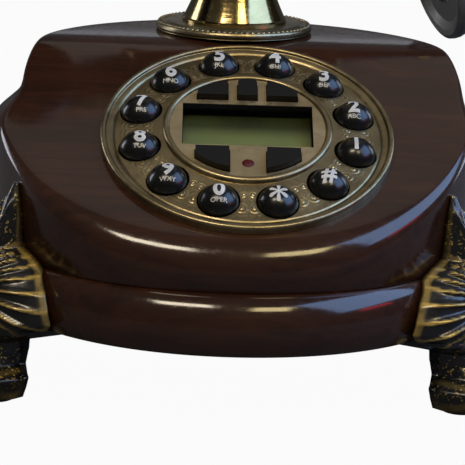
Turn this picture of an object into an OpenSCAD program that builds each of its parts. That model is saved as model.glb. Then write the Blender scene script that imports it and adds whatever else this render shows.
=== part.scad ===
// Desk telephone with a round wooden body, a sloped round keypad, a brass pillar and claw feet.
// Millimetres, +Z up, the front of the telephone faces -Y.
// The origin is the middle of the round body, on the plane the feet rest on.

/* [Body] */
// Radius of the wall at the seam
body_r = 87; // [85:0.5:90]
// How far the wall is drawn in at the front
front_draw = 4; // [2:0.5:5]
// Radius of the raised cap behind the sloped face
cap_r = 80.5; // [79:0.5:81.5]
// How far the narrower top part sits to the right of the body axis
cap_shift = 2.8; // [0:0.2:3]
// Height of the lower edge above the table
edge_h = 28; // [26:0.5:30]
// Height of the seam between base ring and body
seam_h = 49; // [47:0.5:51]
// Height of the flat top
top_h = 119; // [116:0.5:122]
// Wall thickness of the turned body
wall = 6; // [5:0.5:7]

/* [Sloped dial] */
// Tilt of the sloped face from level, degrees
face_tilt = 27.6; // [26:0.2:29]
// How far the dial centre lies below the top
dial_drop = 27; // [26:0.5:28]
// Distance of the dial centre in front of the body middle
dial_y = 28; // [27:0.5:29]
// Sideways offset of the dial
dial_x = 4; // [0:0.5:5]
// Outer radius of the dial rim
dial_r = 52; // [51:0.5:53]
// Radius of the raised inner ring
ring_r = 30.1; // [29.5:0.1:30.5]
// Radius of the circle the twelve keys stand on
key_circle = 39.2; // [39:0.1:39.5]
// Radius of a round key
key_r = 7.1; // [6.6:0.1:7.2]
// Height of a key dome above the dial
key_rise = 5.3; // [4.5:0.1:6]
// How far a round key can be pressed
key_travel = 1.5; // [1:0.1:1.6]

/* [Display] */
// Half the width of the display window
window_w = 23.1; // [22:0.1:23.5]
// Lower edge of the window, from the dial centre
window_low = -10.2; // [-11:0.1:-9.5]
// Upper edge of the window, from the dial centre
window_high = 13; // [12:0.1:13.4]

/* [Pillar and cradle] */
// Distance of the pillar behind the body middle
pillar_y = 52; // [50:0.5:53]
// Radius of the round foot plate of the pillar
flange_r = 30; // [28:0.5:31]
// Thickness of the foot plate
flange_t = 3.4; // [3:0.1:4]
// Radius of the pillar at its foot
pillar_r = 19.5; // [18:0.5:20]
// Height of the handset axis above the table
grip_h = 181; // [178:0.5:186]
// Turn of the cradle on its pillar, degrees
cradle_turn = 17; // [0:1:20]
// Distance of each fork from the pillar axis
fork_x = 38; // [34:1:42]

/* [Handset] */
// Radius of the grip where the forks hold it
grip_r = 12.3; // [11:0.1:12.8]
// Half the length of the grip
grip_half = 82; // [80:0.5:84]
// Radius of the mouthpiece rim
mouth_r = 23; // [22:0.5:24]
// Radius of the earpiece rim
ear_r = 25; // [24:0.5:26]

/* [Feet] */
// How far the paws reach out beyond the body wall
paw_out = 25; // [21:0.5:27]
// Half the width of a paw
paw_w = 15; // [13:0.5:16]
// Half the width of the shell on a foot
shell_w = 27; // [25:0.5:28]

/* [Clearances] */
// Gap between a moving key and its hole
key_gap = 0.4; // [0.35:0.05:0.5]
// Gap between the handset and the forks
rest_gap = 0.45; // [0.4:0.05:0.6]
// Running fit of the hook rod in its bore, on the radius
rod_fit = 0.05; // [0.03:0.01:0.08]
// Gap around pieces that are glued or pressed in
seat_gap = 0.05; // [0.04:0.01:0.1]

/* [Hidden] */
$fn = 64;

// Body surface: radius of the wall at height z and direction a, and height of the face.
slope = tan(face_tilt);
dial_z = top_h - dial_drop;
paw_reach = body_r + paw_out;
cove_high = top_h - 14.3;
cove_low = top_h - 27;
shoulder_r = body_r + 0.8;
waist = 2.2;
waist_h = 14;
roll_side = 2.5;
roll_front = 8;
crease = 3;
columns = 60;
face_side = wall / cos(face_tilt);
face_drop = face_side + 0.25;

function smooth(t) = t * t * (3 - 2 * t);
function clamp(t) = max(0, min(1, t));
function roll(a) = roll_side + roll_front * pow(max(0, -sin(a)), 2);
function drawn(a) = front_draw * pow(max(0, -sin(a)), 6);
function turned_r(z) = z >= cove_low
  ? cap_r + (shoulder_r - cap_r) * smooth(clamp((cove_high - z) / (cove_high - cove_low)))
  : body_r + (shoulder_r - body_r) * clamp((z - seam_h) / (cove_low - seam_h))
    - waist * pow(1 - clamp((z - seam_h) / waist_h), 2);
function shifted(z, a) =
  cap_shift * (1 - smooth(clamp((cove_high - z) / (cove_high - cove_low)))) * cos(a);
function wall_r(z, a) = turned_r(z) + shifted(z, a) - drawn(a);
function slope_z(y) = dial_z + (y + dial_y) * slope;
function face_z(y) = (slope_z(y) + top_h - sqrt(pow(slope_z(y) - top_h, 2) + crease * crease)) / 2;

// Edge where the face meets the wall in direction a, found by halving, then the rounded edge.
function edge_r(a, inset, drop, lo, hi, n) = n == 0
  ? (lo + hi) / 2
  : let(mid = (lo + hi) / 2)
    mid > wall_r(face_z(mid * sin(a)) - drop, a) - inset
      ? edge_r(a, inset, drop, lo, mid, n - 1)
      : edge_r(a, inset, drop, mid, hi, n - 1);
function bend(p, q, s, t) = (1 - t) * (1 - t) * p + 2 * t * (1 - t) * q + t * t * s;

function profile(a, inset, drop, rnd, steps, low) =
  let(
    re = edge_r(a, inset, drop, 40, 100, 22),
    ze = face_z(re * sin(a)) - drop,
    p = [re - rnd, face_z((re - rnd) * sin(a)) - drop],
    s = [wall_r(ze - rnd, a) - inset, ze - rnd]
  )
  concat(
    [for (t = [0 : 0.25 : 0.75]) bend(p, [re, ze], s, t)],
    [for (i = [0 : steps])
      let(z = s[1] + (low - s[1]) * i / steps)
      [wall_r(z, a) - inset, z]]
  );

// Closed solid from one profile per direction; the top is closed by level strips across X.
module loft(rings, n, m) {
  points = [for (i = [0 : n - 1]) for (p = rings[i]) let(a = 360 * (i + 0.5) / n)
    [p[0] * cos(a), p[0] * sin(a), p[1]]];
  sides = [for (i = [0 : n - 1]) for (j = [0 : m - 2]) for (k = [0, 1])
    let(i2 = (i + 1) % n)
    k == 0 ? [i2 * m + j + 1, i * m + j + 1, i * m + j]
      : [i2 * m + j, i2 * m + j + 1, i * m + j]];
  half = n / 2;
  lid = [for (i = [0 : half / 2 - 2]) let(l = half - 1 - i)
    [l * m, (l - 1) * m, (i + 1) * m, i * m]];
  lid_low = [for (i = [0 : half / 2 - 2]) let(r = n - 1 - i, l = half + i)
    [(r - 1) * m, (l + 1) * m, l * m, r * m]];
  middle = [[(n - 1) * m, half * m, (half - 1) * m, 0]];
  floor_face = [[for (i = [0 : n - 1]) i * m + m - 1]];
  polyhedron(points = points, faces = concat(sides, lid, lid_low, middle, floor_face), convexity = 6);
}

module body_form() {
  rings = [for (i = [0 : columns - 1]) let(a = 360 * (i + 0.5) / columns)
    profile(a, 0, 0, roll(a), 9, seam_h)];
  loft(rings, columns, 14);
}

// The hollow narrows to a seat ring above the seam, which takes the base screws.
seat_r = body_r - 16;
seat_h = seam_h + 5;
module body_hollow() {
  n = 36;
  rings = [for (i = [0 : n - 1]) concat(
    profile(360 * (i + 0.5) / n, wall, face_side, 3, 3, seat_h + 0.1),
    [[seat_r, seat_h], [seat_r, seam_h - 1]])];
  loft(rings, n, 10);
}

module on_face() {
  translate([dial_x, -dial_y, dial_z])
    rotate([face_tilt, 0, 0])
      children();
}

module at_pillar(z) {
  translate([0, pillar_y, z])
    children();
}

module around(angles, r, z) {
  for (a = angles)
    rotate([0, 0, a])
      translate([r, 0, z])
        children();
}

screw_angles = [30, 150, 270];
foot_angles = [210, 330, 90];
fix_r = body_r - 12.8;
dial_hole_r = dial_r - 3.6;
bolt_r = 9;

module body_shell() {
  color("saddlebrown")
    difference() {
      body_form();
      body_hollow();
      on_face()
        translate([0, 0, -14])
          cylinder(r = dial_hole_r, h = 30);
      on_face()
        translate([0, 0, -board_low - 2])
          cylinder(r = dial_r + 0.4, h = board_low + 2.05 - wall);
      at_pillar(top_h - 20)
        cylinder(r = bolt_r + 0.3, h = 40);
      around(screw_angles, fix_r, seam_h - 1)
        cylinder(r = 1.6, h = 4.8, $fn = 24);
    }
}

// Base ring below the seam: a turned moulding with a convex face.
skirt_seat = body_r - 15.5;
plate_t = 3;
plate_r = body_r - 9.5;
jack_w = 14;
jack_h = 12;
jack_z = edge_h + 11;
jack_off = 45;
back_start = body_r - 37;
cord_start = body_r - 20;
back_l = sqrt(pow(body_r, 2) - pow(jack_off + jack_w / 2, 2)) - back_start - 0.5;
cord_l = body_r - cord_start;

function skirt_r(z, a) =
  let(
    t = (z - edge_h) / (seam_h - edge_h),
    up = clamp((t - 0.4) / 0.6),
    top_r = body_r - waist - 0.6 - drawn(a),
    out_r = body_r + 2 - 0.3 * drawn(a),
    turn = (1 - sqrt(1 - 0.97 * up * up)) / (1 - sqrt(0.03)))
  out_r - (out_r - top_r) * turn - 2.2 * pow(clamp((0.35 - t) / 0.35), 2);

module skirt_form() {
  steps = 9;
  rings = [for (i = [0 : columns - 1]) let(a = 360 * (i + 0.5) / columns)
    [for (j = [0 : steps]) let(z = seam_h - 0.1 - (seam_h - 0.1 - edge_h) * pow(j / steps, 1.5))
      [skirt_r(z, a), z]]];
  loft(rings, columns, steps + 1);
}

module at_back(x) {
  translate([x, back_start, jack_z])
    rotate([0, 0, 90])
      children();
}

module at_left() {
  rotate([0, 0, 180])
    translate([cord_start, 0, jack_z])
      children();
}

module pocket() {
  translate([-3, -jack_w / 2 - 0.1, -jack_h / 2 - 0.1])
    cube([50, jack_w + 0.2, jack_h + 0.2]);
}

module base_skirt() {
  color("sienna")
    difference() {
      skirt_form();
      translate([0, 0, edge_h + plate_t])
        cylinder(r = skirt_seat, h = 30);
      translate([0, 0, edge_h - 1])
        cylinder(r = plate_r + 0.2, h = plate_t + 1.05);
      around(screw_angles, fix_r, edge_h)
        cylinder(r = 2, h = 30, $fn = 24);
      around(foot_angles, fix_r, edge_h)
        cylinder(r = 1.6, h = 14, $fn = 24);
      at_back(-jack_off)
        pocket();
      at_back(jack_off)
        pocket();
      at_left()
        pocket();
    }
}

// Base plate with the battery opening, ringer slots and standoffs for the main board.
door_w = 46;
door_l = 52;
door_x = -24;
door_y = -16;
board_h = edge_h + 14;
board_w = 52;
board_l = 44;
board_x = 4;
board_y = 36;
ringer_x = 31;
ringer_y = -32;
ringer_r = 20;
post_x = 22;
post_y = 18;

module at_posts() {
  for (x = [-post_x, post_x])
    for (y = [-post_y, post_y])
      translate([board_x + x, board_y + y, 0])
        children();
}

screw_head = 2.9;
module base_plate() {
  color("dimgray")
    difference() {
      union() {
        translate([0, 0, edge_h])
          cylinder(r = plate_r, h = plate_t);
        at_posts()
          translate([0, 0, edge_h + plate_t - 0.5])
            cylinder(r = 3.5, h = board_h - edge_h - plate_t + 0.5, $fn = 32);
        translate([ringer_x, ringer_y, edge_h + plate_t - 0.5])
          difference() {
            cylinder(r = ringer_r + 2.4, h = 6);
            translate([0, 0, -1])
              cylinder(r = ringer_r + 0.3, h = 8);
          }
      }
      translate([door_x - door_w / 2 - 0.4, door_y - door_l / 2 - 0.4, edge_h - 1])
        cube([door_w + 0.8, door_l + 0.8, plate_t + 2]);
      at_posts()
        translate([0, 0, edge_h + 3])
          cylinder(r = 1.1, h = 20, $fn = 20);
      around(screw_angles, fix_r, edge_h - 1)
        cylinder(r = 2, h = 6, $fn = 24);
      around(screw_angles, fix_r, edge_h - 0.01)
        cylinder(r1 = screw_head + 0.2, r2 = 2, h = screw_head - 1.8, $fn = 32);
      around(foot_angles, fix_r, edge_h - 1)
        cylinder(r = 2, h = 6, $fn = 24);
      for (x = [-12 : 6 : 12])
        translate([ringer_x + x - 1.2, ringer_y - 10, edge_h - 1])
          cube([2.4, 20, plate_t + 2]);
    }
}

module countersunk(shank_r, head_r, length) {
  cylinder(r1 = head_r, r2 = shank_r, h = head_r - shank_r, $fn = 32);
  cylinder(r = shank_r, h = length, $fn = 24);
}

module base_screws() {
  color("silver")
    around(screw_angles, fix_r, edge_h + 0.1)
      difference() {
        countersunk(1.55, screw_head, seam_h - edge_h + 3.2);
        translate([0, 0, -0.1])
          cylinder(r = 1.6, h = 1.5, $fn = 6);
      }
}

// Foot: a carved claw foot, lofted from level sections in its own frame.
// u runs outward from the body middle, w runs sideways, z runs up.
sole_h = 1;
foot_top = edge_h + 49;
lug_t = 6;
lug_w = 14;
lug_in = 8.2;
pad_r = 7;
pad_at = paw_reach - 16.4;
screw_sink = 3.2;
knee_z = edge_h + 15;
tip_z = edge_h + 4;
knee_out = 19;

function half_width(z) = lookup(z, [
  [sole_h, paw_w - 6.5], [2.5, paw_w - 5.7], [5, paw_w - 4.2], [9, paw_w - 2.5], [13, 7.4],
  [17, 6.5], [edge_h - 6.5, 6.5], [edge_h - 4, 12.5], [edge_h - 0.7, shell_w - 6.5],
  [edge_h + 1.5, shell_w - 2.5], [tip_z, shell_w],
  [edge_h + 9, shell_w - 0.8], [edge_h + 14, shell_w - 3], [edge_h + 19, shell_w - 8],
  [edge_h + 24, shell_w - 14.5], [edge_h + 27, 5.2], [edge_h + 36, 4.6], [edge_h + 43, 3.4],
  [edge_h + 46, 2.4], [foot_top, 1.5]]);
function front_u(z) = lookup(z, [
  [sole_h, paw_reach - 8], [3, paw_reach - 4], [6, paw_reach - 1], [9, paw_reach - 0.5],
  [12, paw_reach - 4],
  [17, paw_reach - 12], [22, paw_reach - 13], [edge_h - 3, body_r + 13],
  [edge_h + 1, body_r + 15], [tip_z, body_r + 17], [edge_h + 9, body_r + 18.5],
  [knee_z, body_r + knee_out], [edge_h + 21, body_r + 17], [edge_h + 28, body_r + 13],
  [edge_h + 36, body_r + 9], [edge_h + 44, body_r + 6], [foot_top, body_r + 3.4]]);
function wall_u(z, w) =
  let(r = z > seam_h ? turned_r(z) : max(skirt_r(z, 90), turned_r(seam_h)))
  sqrt(r * r - w * w) + 0.25;
function back_u(z, w) = z >= edge_h
  ? wall_u(z, w)
  : lookup(z, [[sole_h, paw_reach - 24], [4, paw_reach - 24.2], [10, paw_reach - 24.5],
    [18, paw_reach - 27], [edge_h - 3, body_r - 2.5], [edge_h - 0.8, body_r + 0.8]]);
// Ribs fan out from the knee; toes run out along the paw.
function ribs(w, z) =
  let(reach = sqrt(w * w + pow(z - knee_z, 2)), turn = atan2(z - knee_z, abs(w)))
  1.3 * clamp((reach - 3) / 9) * cos(turn * 26) * clamp((z - edge_h + 2) / 4);
function toes(w, z) = 2.2 * cos(w * 360 / (paw_w * 0.62)) * clamp((14 - z) / 6);
function bulge(s, z) = z > edge_h - 1
  ? pow(clamp(1 - s * s), 0.6)
  : pow(clamp(1 - pow(abs(s), 3)), 0.5);
function rim_t(z) = lookup(z, [[sole_h, 4], [18, 5], [edge_h - 2, 5], [edge_h + 2, 3.2],
  [edge_h + 20, 3], [edge_h + 36, 2], [foot_top, 0.8]]);
function carve(s, z) =
  let(w = s * half_width(z), b = back_u(z, w) + rim_t(z))
  b + max(0, front_u(z) - b) * bulge(s, z) + (ribs(w, z) + toes(w, z)) * clamp(5 * (1.02 - abs(s)));

foot_levels = concat([sole_h, 2.5, 5, 8, 11, 14, 18],
  [edge_h - 6.5, edge_h - 4, edge_h - 0.7, edge_h + 1.5],
  [for (h = [tip_z : 3 : edge_h + 38]) h], [edge_h + 42, edge_h + 46, foot_top]);
front_n = 28;
back_n = 6;

module foot_form() {
  count = len(foot_levels);
  per = front_n + 1 + back_n + 1;
  points = [for (z = foot_levels) for (i = [0 : per - 1])
    let(s = i <= front_n ? -1 + 2 * i / front_n : 1 - 2 * (i - front_n - 1) / back_n,
      w = s * half_width(z))
    [i <= front_n ? carve(s, z) : back_u(z, w), w, z]];
  sides = [for (j = [0 : count - 2]) for (i = [0 : per - 1]) for (k = [0, 1])
    let(i2 = (i + 1) % per, a = j * per, b = (j + 1) * per)
    k == 0 ? [a + i, b + i2, a + i2] : [a + i, b + i, b + i2]];
  sole = [[for (i = [0 : per - 1]) i]];
  crown = [[for (i = [0 : per - 1]) (count - 1) * per + per - 1 - i]];
  polyhedron(points = points, faces = concat(sides, sole, crown), convexity = 8);
}

module foot() {
  color("darkslategray")
    difference() {
      union() {
        foot_form();
        translate([fix_r - lug_in, -lug_w / 2, edge_h - 0.1 - lug_t])
          cube([24, lug_w, lug_t]);
      }
      translate([fix_r, 0, 10])
        cylinder(r = 2.2, h = 30, $fn = 24);
      translate([fix_r, 0, 10])
        cylinder(r = 4.2, h = edge_h - 0.1 - lug_t - 10 + screw_sink, $fn = 32);
    }
}

module foot_left() {
  rotate([0, 0, foot_angles[0]])
    foot();
}

module foot_right() {
  rotate([0, 0, foot_angles[1]])
    foot();
}

module foot_back() {
  rotate([0, 0, foot_angles[2]])
    foot();
}

module foot_pads() {
  color("black")
    around(foot_angles, pad_at, 0)
      cylinder(r = pad_r, h = sole_h - seat_gap, $fn = 40);
}

module foot_screws() {
  color("silver")
    around(foot_angles, fix_r, edge_h - lug_t + screw_sink - 2.95)
      difference() {
        union() {
          cylinder(r = 3.6, h = 2.8, $fn = 32);
          cylinder(r = 1.55, h = 15, $fn = 24);
        }
        translate([0, 0, -0.5])
          cylinder(r = 1.8, h = 2, $fn = 6);
      }
}

// Dial: a rim, a sloped annulus with twelve holes and a raised inner ring, in the face frame.
annulus_low = 1.6;
annulus_high = 4.2;
rim_h = 3.2;
ring_h = 6;
panel_h = 5;
ring_in = ring_r - 2.5;
post_ring = 43.6;
dial_posts = [30, 120, 210, 300];
function annulus_z(r) = annulus_low
  + (annulus_high - annulus_low) * (dial_r - 5 - r) / (dial_r - 5 - ring_r);
function key_angle(i) = -15 + 30 * i;

module at_key(i) {
  rotate([0, 0, key_angle(i)])
    translate([key_circle, 0, 0])
      rotate([0, 0, -key_angle(i)])
        children();
}

function arc(cx, cy, r, from, to, n) =
  [for (i = [0 : n]) let(a = from + (to - from) * i / n) [cx + r * cos(a), cy + r * sin(a)]];

module dial_bezel() {
  color("darkkhaki")
    on_face()
      difference() {
        union() {
          rotate_extrude($fn = 96)
            polygon(concat(
              [[ring_in + 0.05, 0], [dial_hole_r - 0.3, 0], [dial_hole_r - 0.3, 0.05],
                [dial_r, 0.05]],
              arc(dial_r - 1.7, rim_h - 1.7, 1.7, 0, 180, 8),
              [[dial_r - 3.7, annulus_low - 0.6], [dial_r - 4.6, annulus_low - 0.6],
                [dial_r - 5, annulus_low], [ring_r, annulus_high]],
              arc(ring_r - 1.25, ring_h - 1.25, 1.2, 0, 180, 8)));
          for (a = dial_posts)
            rotate([0, 0, a])
              translate([post_ring, 0, -board_low])
                cylinder(r = 2.6, h = board_low + 0.5, $fn = 32);
        }
        for (i = [0 : 11])
          at_key(i)
            translate([0, 0, -4])
              cylinder(r = key_r + key_gap, h = 12, $fn = 48);
        for (a = dial_posts)
          rotate([0, 0, a])
            translate([post_ring, 0, -12])
              cylinder(r = 1, h = 10.5, $fn = 20);
      }
}

// Round keys: dome, shank and a flange below the dial plate.
flange_key_r = key_r + 1;
flange_top = -0.35;
flange_low = -1.7;
key_foot = -3.1;
dome_r = (key_r * key_r + key_rise * key_rise) / (2 * key_rise);
key_surface = annulus_z(key_circle);

module round_key(i) {
  color("black")
    on_face()
      at_key(i) {
        intersection() {
          translate([0, 0, key_surface + key_rise - dome_r])
            sphere(r = dome_r, $fn = 48);
          translate([0, 0, key_surface])
            cylinder(r = key_r, h = 10, $fn = 48);
        }
        translate([0, 0, flange_low + 0.1])
          cylinder(r = key_r, h = key_surface - flange_low - 0.1, $fn = 48);
        translate([0, 0, flange_low])
          cylinder(r = flange_key_r, h = flange_top - flange_low, $fn = 48);
        translate([0, 0, key_foot])
          cylinder(r = 4, h = flange_low - key_foot + 0.5, $fn = 32);
      }
}

// Display: a plain panel inside the ring, a frame behind it, the glass and its lens.
frame_r = ring_r + 0.2;
frame_low = -3.6;
board_top = key_foot - key_travel - 1.4;
board_low = 7.6;
frame_top = -0.05;
lcd_low = frame_low + 0.9;
lcd_t = 1.7;

module window_block(grow, z, h) {
  translate([-window_w - grow, window_low - grow, z])
    cube([2 * (window_w + grow), window_high - window_low + 2 * grow, h]);
}

// Function key outline: a box whose outer side follows the inner ring.
fn_r = ring_in - 1.9;
fn_rise = 7.4;
fn_travel = 1;
fn_low_v = window_high + 2.6;
fn_flange = 0.7;
fn_pocket = 1.05;
fn_gap = 0.35;
function wedge(x1, x2, v1, r) =
  let(a1 = acos(x2 / r), a2 = acos(x1 / r))
  concat([[x1, v1], [x2, v1]], arc(0, 0, r, a1, a2, 5));
upper_wedge = [7.1, 17.9, fn_low_v];
lower_wedge = [6.6, 18.4, 3.3 - window_low];
mid_half = 3.4;

module wedge_flat(v, grow) {
  polygon(wedge(v[0] - grow, v[1] + grow, v[2] - grow, fn_r + grow));
}

module mid_flat(grow) {
  polygon([[-mid_half - grow, fn_low_v - grow], [mid_half + grow, fn_low_v - grow],
    [mid_half + grow, fn_low_v + 8.2 + grow], [mid_half - 1 + grow, fn_low_v + 9.4 + grow],
    [-mid_half + 1 - grow, fn_low_v + 9.4 + grow], [-mid_half - grow, fn_low_v + 8.2 + grow]]);
}

module fn_flat(i, grow) {
  if (i == 0)
    mirror([1, 0, 0])
      wedge_flat(upper_wedge, grow);
  if (i == 1)
    mid_flat(grow);
  if (i == 2)
    wedge_flat(upper_wedge, grow);
  if (i == 3)
    rotate([0, 0, 180])
      wedge_flat(lower_wedge, grow);
  if (i == 4)
    mirror([0, 1, 0])
      wedge_flat(lower_wedge, grow);
}

module fn_key(i) {
  color("black")
    on_face() {
      translate([0, 0, -0.9])
        linear_extrude(height = fn_rise + 0.9)
          fn_flat(i, 0);
      translate([0, 0, -1.7])
        linear_extrude(height = 1.35)
          fn_flat(i, fn_flange);
    }
}

module display_panel() {
  color("tan")
    on_face()
      difference() {
        translate([0, 0, 0.02])
          cylinder(r = ring_in, h = panel_h - 0.02, $fn = 96);
        window_block(0, -1, 10);
        for (i = [0 : 4])
          translate([0, 0, -1])
            linear_extrude(height = 10)
              fn_flat(i, fn_gap);
        translate([0, window_low - 9.8, -1])
          cylinder(r = 2.1 + seat_gap, h = 10, $fn = 32);
      }
}

module display_frame() {
  color("dimgray")
    on_face()
      difference() {
        translate([0, 0, frame_low])
          cylinder(r = frame_r, h = frame_top - frame_low, $fn = 72);
        window_block(0.6, lcd_low, 10);
        for (i = [0 : 4])
          translate([0, 0, frame_low - 1])
            linear_extrude(height = 10)
              fn_flat(i, fn_pocket);
        translate([0, window_low - 9.8, frame_low - 1])
          cylinder(r = 1.5, h = 10, $fn = 24);
      }
}

module lcd_glass() {
  color("olive")
    on_face()
      window_block(0.5, lcd_low, lcd_t);
}

module display_lens() {
  color("white", 0.4)
    on_face()
      window_block(0.5, lcd_low + lcd_t + 0.05, frame_top - lcd_low - lcd_t - 0.1);
}

module led_lens() {
  color("darkred")
    on_face()
      translate([0, window_low - 9.8, 0.05]) {
        cylinder(r = 2.1, h = panel_h - 0.05, $fn = 32);
        intersection() {
          translate([0, 0, panel_h - 2.6])
            sphere(r = 3.35, $fn = 32);
          translate([0, 0, panel_h - 0.1])
            cylinder(r = 2.1, h = 3, $fn = 32);
        }
      }
}

module keypad_mat() {
  color("black")
    on_face()
      difference() {
        translate([0, 0, board_top - 0.02])
          cylinder(r = dial_hole_r - 1.4, h = 1, $fn = 72);
        for (a = dial_posts)
          rotate([0, 0, a])
            translate([post_ring, 0, board_top - 1])
              cylinder(r = 2.65, h = 4, $fn = 32);
      }
}

module keypad_board() {
  color("green")
    on_face()
      difference() {
        translate([0, 0, -board_low])
          cylinder(r = dial_hole_r - 1.4, h = board_low + board_top - 0.02, $fn = 72);
        for (a = dial_posts)
          rotate([0, 0, a])
            translate([post_ring, 0, -board_low - 1])
              cylinder(r = 2.65, h = 4, $fn = 32);
      }
}

// Clamp ring: holds the dial down on the wood from inside.
module dial_clamp() {
  color("slategray")
    on_face()
      difference() {
        rotate_extrude($fn = 72)
          polygon([[41, -board_low - 1.6], [dial_r - 0.5, -board_low - 1.6],
            [dial_r - 0.5, -wall - 0.05], [dial_hole_r + 0.2, -wall - 0.05],
            [dial_hole_r + 0.2, -board_low - 0.05],
            [41, -board_low - 0.05]]);
        for (a = dial_posts)
          rotate([0, 0, a])
            translate([post_ring, 0, -12])
              cylinder(r = 1.3, h = 10, $fn = 20);
      }
}

module dial_screws() {
  color("silver")
    on_face()
      for (a = dial_posts)
        rotate([0, 0, a])
          translate([post_ring, 0, -board_low - 3]) {
            cylinder(r = 2.2, h = 1.35, $fn = 24);
            cylinder(r = 0.95, h = 8, $fn = 20);
          }
}

// Electronics on the base plate.
module main_board() {
  color("green")
    difference() {
      union() {
        translate([board_x - board_w / 2, board_y - board_l / 2, board_h + 0.02])
          cube([board_w, board_l, 1.6]);
        translate([board_x - 8, board_y - 18, board_h + 1.5])
          cube([16, 12, 4.5]);
        translate([board_x + 14, board_y - 6, board_h + 1.5])
          cylinder(r = 5, h = 11, $fn = 32);
        translate([board_x - 23, board_y - 8, board_h + 1.5])
          cube([9, 14, 8]);
      }
      at_posts()
        translate([0, 0, board_h - 1])
          cylinder(r = 1.1, h = 4, $fn = 20);
    }
}

rod_r = 3;
rod_low = board_h + 8.1;
spring_low = board_h + 22;
hook_rise = 4;

module hook_switch() {
  color("dimgray")
    at_pillar(board_h + 1.65)
      difference() {
        union() {
          translate([-8, -6, 0])
            cube([16, 12, 6]);
          cylinder(r = 5.8, h = spring_low - board_h - 1.75, $fn = 48);
        }
        translate([0, 0, 6])
          cylinder(r = rod_r + 0.4, h = 40, $fn = 48);
      }
}

module ringer() {
  color("silver")
    translate([ringer_x, ringer_y, edge_h + plate_t + 0.05]) {
      cylinder(r = ringer_r, h = 3.5);
      cylinder(r = 11, h = 9);
    }
}

module jack(length) {
  difference() {
    translate([0, -jack_w / 2, -jack_h / 2])
      cube([length, jack_w, jack_h]);
    translate([4, -5, -3.6])
      cube([30, 10, 7.2]);
    translate([4, -1.6, -4.6])
      cube([30, 3.2, 2]);
  }
}

module line_jack() {
  color("dimgray")
    at_back(-jack_off)
      jack(back_l);
}

module handset_jack() {
  color("dimgray")
    at_left()
      jack(cord_l);
}

// Ringer switch: a slotted housing in the base ring and its sliding knob.
knob_w = 3;
knob_throw = 4;
module switch_plate() {
  color("dimgray")
    at_back(jack_off)
      difference() {
        translate([0, -jack_w / 2, -jack_h / 2])
          cube([back_l, jack_w, jack_h]);
        translate([back_l - 8, -5, -2])
          cube([30, 10, 4]);
      }
}

module ringer_knob() {
  color("gray")
    at_back(jack_off)
      translate([back_l - 7.5, -knob_w / 2 - knob_throw / 2, -1.5])
        cube([9, knob_w, 3]);
}

// Battery tray, three cells and a cover that comes off downward.
cell_r = 5.2;
cell_l = 44;
tray_h = 13.5;
module battery_tray() {
  color("dimgray")
    translate([door_x, door_y, edge_h + plate_t + 0.05])
      difference() {
        translate([-door_w / 2 - 2, -door_l / 2 - 2, 0])
          cube([door_w + 4, door_l + 4, tray_h]);
        translate([-door_w / 2, -door_l / 2, -1])
          cube([door_w, door_l, tray_h]);
      }
}

module batteries() {
  color("goldenrod")
    for (x = [-13, 0, 13])
      translate([door_x + x, door_y - cell_l / 2, edge_h + plate_t + tray_h - 1 - cell_r - 0.1])
        rotate([-90, 0, 0]) {
          cylinder(r = cell_r, h = cell_l - 1, $fn = 32);
          cylinder(r = 1.9, h = cell_l, $fn = 24);
        }
}

module battery_door() {
  color("dimgray")
    translate([door_x, door_y, edge_h + 0.2]) {
      translate([-door_w / 2, -door_l / 2, 0])
        cube([door_w, door_l, 2.2]);
      for (y = [-18, 0, 18])
        translate([-15, y - 1, 2])
          cube([30, 2, 2]);
    }
}

// Pillar: foot plate, conical column, nut, and the cradle with its two forks.
pillar_base = top_h + flange_t;
fork_bore = grip_r + rest_gap + 1.2;
fork_tube = 3.2;
fork_z = grip_h + fork_bore - grip_r - rest_gap;
bar_top = fork_z - fork_bore - 1.6;
pillar_top = bar_top - 6;
bore_r = rod_r + rod_fit;

module pillar_flange() {
  color("darkgoldenrod")
    at_pillar(top_h + 0.02)
      difference() {
        rotate_extrude($fn = 96)
          polygon(concat([[0, 0], [flange_r - 0.6, 0]],
            arc(flange_r - 1.5, 1.5, 1.5, -60, 90, 6),
            [[flange_r - 3, 2.4], [flange_r - 4.5, flange_t], [0, flange_t]]));
        translate([0, 0, -5])
          cylinder(r = bolt_r + 0.05, h = 20);
      }
}

module pillar() {
  h = pillar_top - pillar_base;
  color("gold")
    at_pillar(pillar_base + 0.04)
      difference() {
        union() {
          rotate_extrude($fn = 96)
            polygon(concat(
              [[0, -0.02], [pillar_r + 0.6, -0.02], [pillar_r + 0.6, 1], [pillar_r, 1.6]],
              [for (t = [0.05 : 0.05 : 0.8])
                [pillar_r - (pillar_r - 10.5) * (1 - pow(1 - t / 0.8, 1.6)), 1.6 + (h - 1.6) * t]],
              [[13, 0.83 * h], [13.6, 0.87 * h], [13, 0.91 * h], [10.6, 0.93 * h],
                [11.4, h - 0.06], [0, h - 0.06]]));
          translate([0, 0, -flange_t - 26])
            cylinder(r = bolt_r, h = 30);
        }
        translate([0, 0, -flange_t - 30])
          cylinder(r = bore_r, h = 120, $fn = 48);
        translate([0, 0, -flange_t - 27])
          cylinder(r = 6.4, h = 22, $fn = 48);
      }
}

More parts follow.
